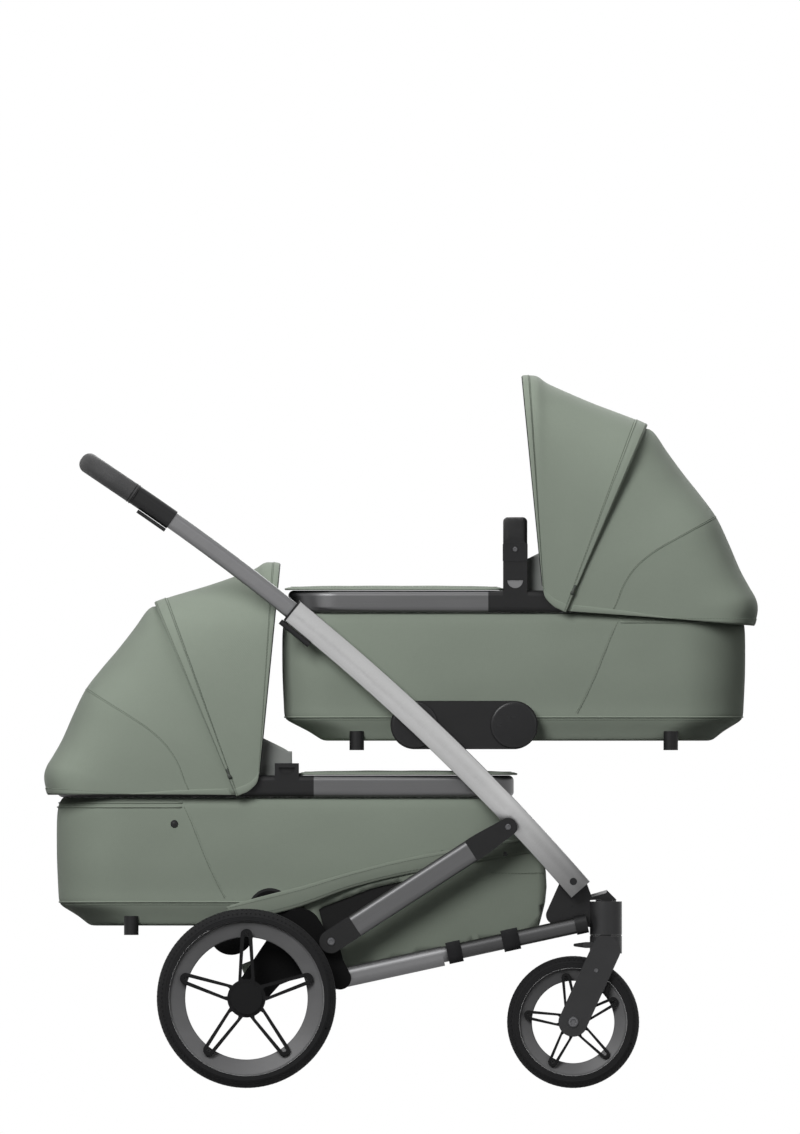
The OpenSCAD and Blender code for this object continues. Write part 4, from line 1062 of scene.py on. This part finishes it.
def basket_side():
    """Points and triangles of one side in the side view, and how far each point puffs out."""
    loops, edges, at = [], [], 0
    for poly in (BASKET_SIDE, BASKET_GAP):
        ring = closed(np.array(poly))
        p = resample(ring, int(path_lengths(ring)[-1] / 9))[:-1]
        loops.append(p)
        edges += [(at + i, at + (i + 1) % len(p)) for i in range(len(p))]
        at += len(p)
    rim = np.vstack(loops)

    def away(q):
        return np.min(np.linalg.norm(rim - q, axis=1))

    xs, zs = np.meshgrid(np.arange(-155, 240, 10), np.arange(195, 416, 10))
    fill = [q for q in np.column_stack([xs.ravel(), zs.ravel()]) if in_basket_side(q) and away(q) > 6]
    verts, _, tris, *_ = delaunay_2d_cdt([Vector(q) for q in np.vstack([rim, fill])], edges, [], 0, 1e-5)
    flat = np.array([tuple(v) for v in verts])
    tris = [tuple(t) for t in tris if in_basket_side(flat[list(t)].mean(0))]
    far = np.array([away(q) for q in flat])
    wave = 0.5 * np.sin(flat[:, 0] * 0.05) * np.sin(flat[:, 1] * 0.06) * np.minimum(far / 20, 1)
    return flat, tris, 3.2 * (1 - np.exp(-far / 28)) + wave


def basket_floor(rows, columns):
    """The strip under the basket and up its front, sagging in the middle, and its flat coordinates."""
    base = resample(BASKET_BASE, rows)
    ys = np.linspace(-BASKET_HALF, BASKET_HALF, columns)
    sag = np.cos(ys / BASKET_HALF * math.pi / 2)
    way = unit(np.gradient(base, axis=0))
    along = path_lengths(base)
    belly = 3.0 * np.sin(along / along[-1] * math.pi)
    points = [(x + w[1] * b * g, y, z - w[0] * b * g)
              for (x, z), w, b in zip(base, way, belly) for y, g in zip(ys, sag)]
    return np.array(points), np.array([(s, y) for s in along for y in ys])


def padded_strip(rows, side, across):
    """A stuffed strip; rows are X, Z and half height, and across gives its middle plane at X."""
    path = smooth_curve(rows, 70)
    way = unit(np.gradient(path[:, :2], axis=0))
    up = np.column_stack([-way[:, 1], way[:, 0]])
    turn = 2 * math.pi * np.arange(14) / 14
    high = np.sign(np.sin(turn)) * np.abs(np.sin(turn)) ** 0.7
    ring = [(x + u[0] * w * e, side * (across(x) + 2.6 * c), z + u[1] * w * e)
            for (x, z, w), u in zip(path, up) for e, c in zip(high, np.cos(turn))]
    return np.array(ring), capped_faces(70, 14), path, up


def band_plane(x):
    return float(np.interp(x, *BAND_Y))


def basket_pieces():
    """The basket's cloth, padded bands, stitches and dark lining, which narrow when the chassis folds."""
    flat, tris, puff = basket_side()
    parts = []
    for k in (-1, 1):
        p = np.column_stack([flat[:, 0], k * (BASKET_HALF + puff), flat[:, 1]])
        parts.append((p, [t if k < 0 else tuple(reversed(t)) for t in tris]))
    floor, floor_uv = basket_floor(FLOOR_ROWS, FLOOR_COLUMNS)
    parts.append((floor, grid_faces(FLOOR_ROWS, FLOOR_COLUMNS)))
    p, f = joined(parts)
    obj = new_piece("basket_cloth", p / 1000, f, "chassis", [finish("basket"), finish("basket_lining_and_shade")],
                    np.vstack([flat, flat, floor_uv]) / 1000)
    make_sheet(obj, 0.002, "basket")
    parts, runs, shade_panels = [], [], []
    for k in (-1, 1):
        ring, f, path, up = padded_strip(BAND, k, band_plane)
        parts += [(ring, f), padded_strip(STRAP, k, lambda x: STRAP_Y)[:2]]
        y = np.array([k * (band_plane(x) + 2.5) for x in path[:, 0]])
        for off in (-0.62, 0.62):
            line = path[:, :2] + up * path[:, 2:] * off
            runs.append(np.column_stack([line[:, 0], y, line[:, 1]]) / 1000)
        seam = resample(BASKET_SEAM, 30)
        runs.append(np.column_stack([seam[:, 0], np.full(30, k * SEAM_Y), seam[:, 1]]) / 1000)
        shade_panels.append(prism(BASKET_SHADE_PANEL, k * SHADE_PANEL_Y[0], k * SHADE_PANEL_Y[1]))
    p, f = joined(parts)
    band = shell("basket_band", p / 1000, f, "chassis", "basket", p[:, [0, 2]] / 1000, "basket_cloth")
    sewn = stitches("basket_stitches", "chassis", runs)
    # A black panel in the opening stands in for the shade there: painted shade, hiding the lit tub behind.
    p, f = joined(shade_panels)
    lining = shell("basket_mesh", p / 1000, f, "chassis", "basket_lining_and_shade", p[:, [0, 2]] / 1000,
                   "basket_cloth", smooth=False)
    for soft in (obj, band, sewn, lining):
        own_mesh(soft)
    tube_loops()


def tube_loops():
    """Webbing loops that hold the basket to the lower tubes."""
    c, s = math.cos(LOWER_SLOPE), math.sin(LOWER_SLOPE)
    d, up, n = np.array([c, s]), np.array([-s, c]), 40
    turn = np.linspace(0, 2 * math.pi, n, endpoint=False)
    y, z = (half * np.sign(v) * np.abs(v) ** 0.7 for half, v in zip(LOOP_HALF, (np.cos(turn), np.sin(turn))))
    parts = []
    for k in (-1, 1):
        for along, w in TUBE_LOOPS:
            mid = np.array(LOWER_START) + d * along + up * 2.3
            rings = []
            for grow, e in ((0.0, -w / 2), (1.5, -w / 2), (1.5, w / 2), (0.0, w / 2)):
                g = 1 + grow / 14.0
                spot = mid + d * e + up * z[:, None] * g
                rings.append(np.column_stack([spot[:, 0], k * (LOOP_Y + y * g), spot[:, 1]]))
            parts.append((np.vstack(rings), grid_faces(4, n, True, True)))
    p, f = joined(parts)
    uv = np.column_stack([p[:, 0], p[:, 1] + p[:, 2]]) / 1000
    shell("basket_straps", p / 1000, f, "chassis", "webbing", uv, "black_plastic")


# Small fittings
def points_piece(name, body, shape, key, rows):
    """Copies of a shape; rows are X, Y, Z, radius and the side it faces."""
    mesh = bpy.data.meshes.new(name)
    mesh.from_pydata([(x / 1000, y / 1000, z / 1000) for x, y, z, _, _ in rows], [], [])
    for label, column, scale in (("radius", 3, 0.001), ("side", 4, 1.0)):
        made = mesh.attributes.new(label, "FLOAT", "POINT")
        made.data.foreach_set("value", [r[column] * scale for r in rows])
    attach(run_tree(new_object(name, mesh), screw_tree(), {"Screw": shape, "Material": finish(key)}), body)


def fittings():
    """Socket screws and press studs at every pin that shows, then covers and seals."""
    head = [(0.98, -0.3), (1.0, 0.0), (0.97, 0.28), (0.82, 0.45), (0.58, 0.47), (0.54, 0.4), (0.5, 0.05)]
    stud = [(0.98, -0.3), (1.0, 0.1), (0.92, 0.3), (0.7, 0.36), (0.6, 0.3), (0.45, 0.42), (0.15, 0.46)]
    screw = shell("screw_shape", *lathe(head, 24, (5, 6)), None, "screw", smooth=False)
    snap = shell("snap_shape", *lathe(stud), None, "black")
    ux, uz, _ = COTS["upper"]
    lx, lz, _ = COTS["lower"]
    x, y, z, _ = WHEELS["front"]
    spots = ((x, z, 9.0), (SWIVEL[0] + FORK_SCREW[0], FORK_SCREW[1], 3.6))
    for side, k in SIDES.items():
        rows = [(px, k * (y + way * FORK_FACE), pz, r, way * k) for px, pz, r in spots for way in (1, -1)]
        points_piece("fork_screws_" + side, "fork_" + side, screw, "screw", rows)
    for name, shape, key, px, py, pz, r in (
            ("upper_cot_screws", screw, "screw", ux + KNUCKLE_U, 202.8, uz + 316, 4.2),
            ("strut_screws", screw, "screw", STRUT_TIP[0], STRUT_FACE, STRUT_TIP[1], 5.0),
            ("chassis_screws", screw, "screw", STRUT_FOOT[0], STRUT_FACE, STRUT_FOOT[1], 6.5),
            ("lower_cot_snaps", snap, "black", lx - 188, 196.9, lz + 168, 6.4),
            ("chassis_snaps", snap, "black", 171.6, 205.6, 387.8, 5.6)):
        points_piece(name, name.rsplit("_", 1)[0], shape, key, [(px, k * py, pz, r, k) for k in (1, -1)])
    for shape in (screw, snap):
        bpy.data.objects.remove(shape)
    small_covers()
    swivel_seals()


def small_covers():
    """Pale caps on the wheel releases, domed adapter discs and stepped covers on the carry bar's knuckles."""
    # The pale strip on each release's top is painted highlight: the light catching the black wedge's top
    # face.
    highlight_strip = [(SWIVEL[0] + u, RELEASE_Z + w) for u, w in RELEASE_HIGHLIGHT]
    for side, k in SIDES.items():
        p, f = prism(highlight_strip, k * RELEASE_Y[0], k * RELEASE_Y[1])
        shell("release_cap_" + side, p / 1000, f, "wheel_release_" + side, "pale", smooth=False)
    r = DISC_R
    dome = [(r, -0.6), (r, 0.2), (r - 1.6, 1.4), (r - 5, 1.7), (r / 2, 2.2), (2, 2.4)]
    for side, k in SIDES.items():
        p, f = joined([turned(dome, x, DISC_Y, z, k, 64) for x, z in ADAPTER_DISCS])
        shell("adapter_discs_" + side, p, f, "mast", "gloss")
    x, z, _ = COTS["upper"]
    block = [(x + KNUCKLE_U + u, z + w) for u, w in KNUCKLE]
    p, f = joined([prism(block, k * KNUCKLE_Y[0], k * KNUCKLE_Y[1]) for k in (-1, 1)])
    shell("knuckle_covers", p / 1000, f, "upper_cot", "gloss", smooth=False)


def swivel_seals():
    """A ring between each fork and its housing, a soft one under each release, and the bracket's web."""
    x, y = SWIVEL
    low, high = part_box("front_cross_tube")
    web = [FOLD, BRACKET_TOE, ((low[0] + high[0]) * 500, (low[2] + high[2]) * 500)]
    for side, k in SIDES.items():
        made = {}
        for name, body, (r, bottom, top) in (("swivel_seal_", "fork_" + side, FORK_SEAL),
                                             ("release_gasket_", "chassis", GASKET)):
            p, f = hoop([(r, bottom), (r, top), (STEM_CLEAR, top), (STEM_CLEAR, bottom)], 48)
            made[name] = shell(name + side, (p + (x, k * y, 0)) / 1000, f, body, "black", smooth=False)
        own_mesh(made["release_gasket_"])
        p, f = prism(web, k * BRACKET_Y[0], k * BRACKET_Y[1])
        shell("bracket_web_" + side, p / 1000, f, "chassis", "black", smooth=False)


def wheel_rings():
    """The grey ring of each wheel: a lip at the tyre and a face that dishes in towards the spokes."""
    for end, (x, y, z, _) in WHEELS.items():
        edge, inner, w = RINGS[end]
        h = w / 2
        face = [(edge, h), (edge - 1.8, h), (edge - 3.2, h - 1.6), (inner + 1.4, h - 9.6), (inner, h - 10.8)]
        section = [(r, -h) for r, h in face] + [(r, h) for r, h in reversed(face)]
        for side, k in SIDES.items():
            p, f = turned(section, x, y, z, k, 128, hoop)
            ring = shell(f"{end}_ring_{side}", p, f, f"{end}_wheel_{side}", "ring", slot="wheel_grey",
                         smooth=False)
            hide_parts(f"{end}_rim_{side}")


def tyre_tread():
    """Rows of short ribs round each tyre's crown."""
    for end, (x, y, z, w) in WHEELS.items():
        crown = w * CROWN
        for side, k in SIDES.items():
            rings = []
            for off in TREAD_ROWS:
                r = z - crown + math.sqrt(crown**2 - (off * w) ** 2) - 0.75
                a = np.linspace(0, 2 * math.pi, 181) + off * 0.9
                across = np.full(len(a), k * y + off * w)
                rings.append(np.column_stack([x + r * np.cos(a), across, z + r * np.sin(a)]) / 1000)
            rods(f"{end}_tread_{side}", f"{end}_wheel_{side}", rings, rod_tree("Ribs along paths", False), {
                "Pitch": sizes().tread_pitch, "Length": w * 0.00013, "Radius": 0.0011,
                "Material": rubber(end)})


def grip_point(x, y, z):
    """A point of the grip's own frame in the pram's frame, in metres."""
    a = BOW_A0 + GRIP_S / BOW_R
    ox = FOLD[0] + BOW_R * (math.cos(a) - math.cos(BOW_A0))
    oz = FOLD[1] + BOW_R * (math.sin(a) - math.sin(BOW_A0))
    c, s = math.cos(a + math.pi / 2), math.sin(a + math.pi / 2)
    return (ox + x * c - z * s) / 1000, y / 1000, (oz + x * s + z * c) / 1000


def grip_path(inset, z):
    """The U of the grip's middle line, moved in or out and up or down."""
    half, r = MAST_MID - inset, GRIP_R - inset
    pts = [(0, -half), (GRIP_LEG, -half)]
    turn = np.linspace(0, math.pi / 2 - 0.1, 12)
    pts += [(GRIP_LEG + r * math.sin(t), r - half - r * math.cos(t)) for t in turn + 0.1]
    pts += [(GRIP_LEG + r * math.cos(t), half - r + r * math.sin(t)) for t in turn]
    pts += [(GRIP_LEG, half), (0, half)]
    return [grip_point(x, y, z) for x, y in resample(pts, 160)]


def grip_trim():
    """Leather seam under the grip and beads where it meets each collar."""
    stitches("grip_stitches", "handle", [
        grip_path(GRIP_SEAM_IN, z) for z in (GRIP_SEAM_Z, -GRIP_SEAM_Z)], "black_thread", 1.15)
    parts = []
    for k in (-1, 1):
        for x in (1.5, 6.0):
            ring = []
            for a in np.linspace(0, 2 * math.pi, 40, endpoint=False):
                c, s = math.cos(a), math.sin(a)
                flat = math.copysign(2.0, s) * min(1, abs(s) * 6)
                ring.append(grip_point(x, k * MAST_MID + BEAD_R * c, BEAD_R * s + flat))
            parts.append(tube(np.array(ring) * 1000, 0.9, loop=True))
    p, f = joined(parts)
    shell("grip_beads", p / 1000, f, "handle", "black")


# Studio, in metres
WHITE = (1, 1, 1, 1)
VIEW_WIDTH, VIEW_FROM = 1.871, (-0.00165, -7.0, 0.8597)


def studio_world(scene):
    """White to the eye and to reflections, and dim as a light."""
    scene.world = scene.world or bpy.data.worlds.new("Studio")
    scene.world.use_nodes = True
    t = scene.world.node_tree
    t.nodes.clear()
    rays = node(t, "ShaderNodeLightPath")
    mirrored = out(rays, "Is Glossy Ray").math("MAXIMUM", out(rays, "Is Transmission Ray"))
    dim, white = (out(node(t, "ShaderNodeBackground", {"Color": WHITE, "Strength": s})) for s in (0.1, 1.0))
    seen = out(rays, "Is Camera Ray").math("MAXIMUM", mirrored)
    node(t, "ShaderNodeOutputWorld", {0: out(node(t, "ShaderNodeMixShader", {0: seen, 1: dim, 2: white}))})


def studio_floor():
    """Paper that looks pale and throws little light back."""
    e, z = 30.0, -0.0006
    mesh = bpy.data.meshes.new("studio_floor")
    mesh.from_pydata([(-e, -e, z), (e, -e, z), (e, e, z), (-e, e, z)], [], [(0, 1, 2, 3)])
    paper = bpy.data.materials.new("Studio paper")
    paper.use_nodes = True
    t = paper.node_tree
    rays = node(t, "ShaderNodeLightPath")
    seen = out(rays, "Is Camera Ray").math("MAXIMUM", out(rays, "Is Glossy Ray"))
    shade = node(t, "ShaderNodeMix", {"A": (0.04, 0.04, 0.04, 1), "B": (0.78, 0.78, 0.78, 1), "Factor": seen},
                 data_type="RGBA")
    for key, value in {"Roughness": 0.9, "Specular IOR Level": 0.0, "Emission Color": WHITE,
                       "Emission Strength": seen * 0.42, "Base Color": out(shade, "Result")}.items():
        feed(t.nodes["Principled BSDF"].inputs[key], value)
    mesh.materials.append(paper)
    new_object("studio_floor", mesh)


def studio():
    """Pale floor, soft lamps, white surround and the side-on camera."""
    scene = bpy.context.scene
    scene.view_settings.view_transform = "Standard"
    studio_world(scene)
    studio_floor()
    for name, spot, size, power in (
            ("key", (-1.9, -4.0, 3.0), 2.4, 148.0), ("fill", (2.6, -3.0, 1.5), 2.2, 7.0),
            ("top", (0.2, -0.2, 4.3), 3.0, 46.0), ("back", (0.8, 4.0, 2.6), 2.6, 70.0)):
        data = bpy.data.lights.new("studio_" + name, "AREA")
        data.shape, data.size, data.energy = "DISK", size, power
        lamp = new_object("studio_" + name, data)
        lamp.location = spot
        lamp.rotation_euler = (Vector((0, 0, 0.6)) - Vector(spot)).to_track_quat("-Z", "Y").to_euler()
    data = bpy.data.cameras.new("side_camera")
    data.type, data.ortho_scale, data.clip_end = "ORTHO", VIEW_WIDTH, 60.0
    camera = new_object("side_camera", data)
    camera.location, camera.rotation_euler = VIEW_FROM, (math.pi / 2, 0, 0)
    scene.camera = camera


# Add-on
def operator(name, label, text, work):
    def execute(self, context):
        work()
        return {"FINISHED"}

    return type("PRAM_OT_" + name, (bpy.types.Operator,), {
        "bl_idname": "pram." + name, "bl_label": label, "__doc__": text, "execute": execute})


def both(work):
    def run():
        for cot in COTS:
            work(cot)

    return run


OPERATORS = {name: operator(name, label, text, work) for name, label, text, work in (
    ("finishes", "Node finishes", "Gives every carried-over node its finish", node_finishes),
    ("hoods", "Hoods", "Makes the hood cloth, hems, seams and zips", both(hood_pieces)),
    ("tubs", "Tubs", "Makes the tub cloth with its piping and seams", both(tub_pieces)),
    ("aprons", "Aprons", "Makes the aprons and their wind flaps", both(apron_pieces)),
    ("mattresses", "Mattresses", "Makes the stuffed mattresses", both(mattress_piece)),
    ("basket", "Basket", "Makes the basket, its band and its straps", basket_pieces),
    ("fittings", "Fittings", "Puts screws, studs, covers and seals at their places", fittings),
    ("rings", "Wheel rings", "Makes the dished grey rings of the wheels", wheel_rings),
    ("tread", "Tyre tread", "Puts ribs on the tyres", tyre_tread),
    ("grip", "Grip trim", "Sews the grip and beads its ends", grip_trim),
    ("studio", "Studio", "Makes the floor, the lamps and the camera", studio),
)}


class PRAM_PT_looks(bpy.types.Panel):
    bl_idname = "PRAM_PT_looks"
    bl_label = "Twin pram"
    bl_space_type = "VIEW_3D"
    bl_region_type = "UI"
    bl_category = "Pram"

    def draw(self, context):
        for group in (context.scene.pram_colours, context.scene.pram_sizes):
            for key in group.__annotations__:
                self.layout.prop(group, key)
        for made in OPERATORS.values():
            self.layout.operator(made.bl_idname)


CLASSES = [PramColours, PramSizes, *OPERATORS.values(), PRAM_PT_looks]


def register():
    for c in CLASSES:
        bpy.utils.register_class(c)
    bpy.types.Scene.pram_colours = PointerProperty(type=PramColours)
    bpy.types.Scene.pram_sizes = PointerProperty(type=PramSizes)


def unregister():
    del bpy.types.Scene.pram_sizes, bpy.types.Scene.pram_colours
    for c in reversed(CLASSES):
        bpy.utils.unregister_class(c)


def main():
    register()
    for name in OPERATORS:
        getattr(bpy.ops.pram, name)()


if __name__ == "__main__":
    main()
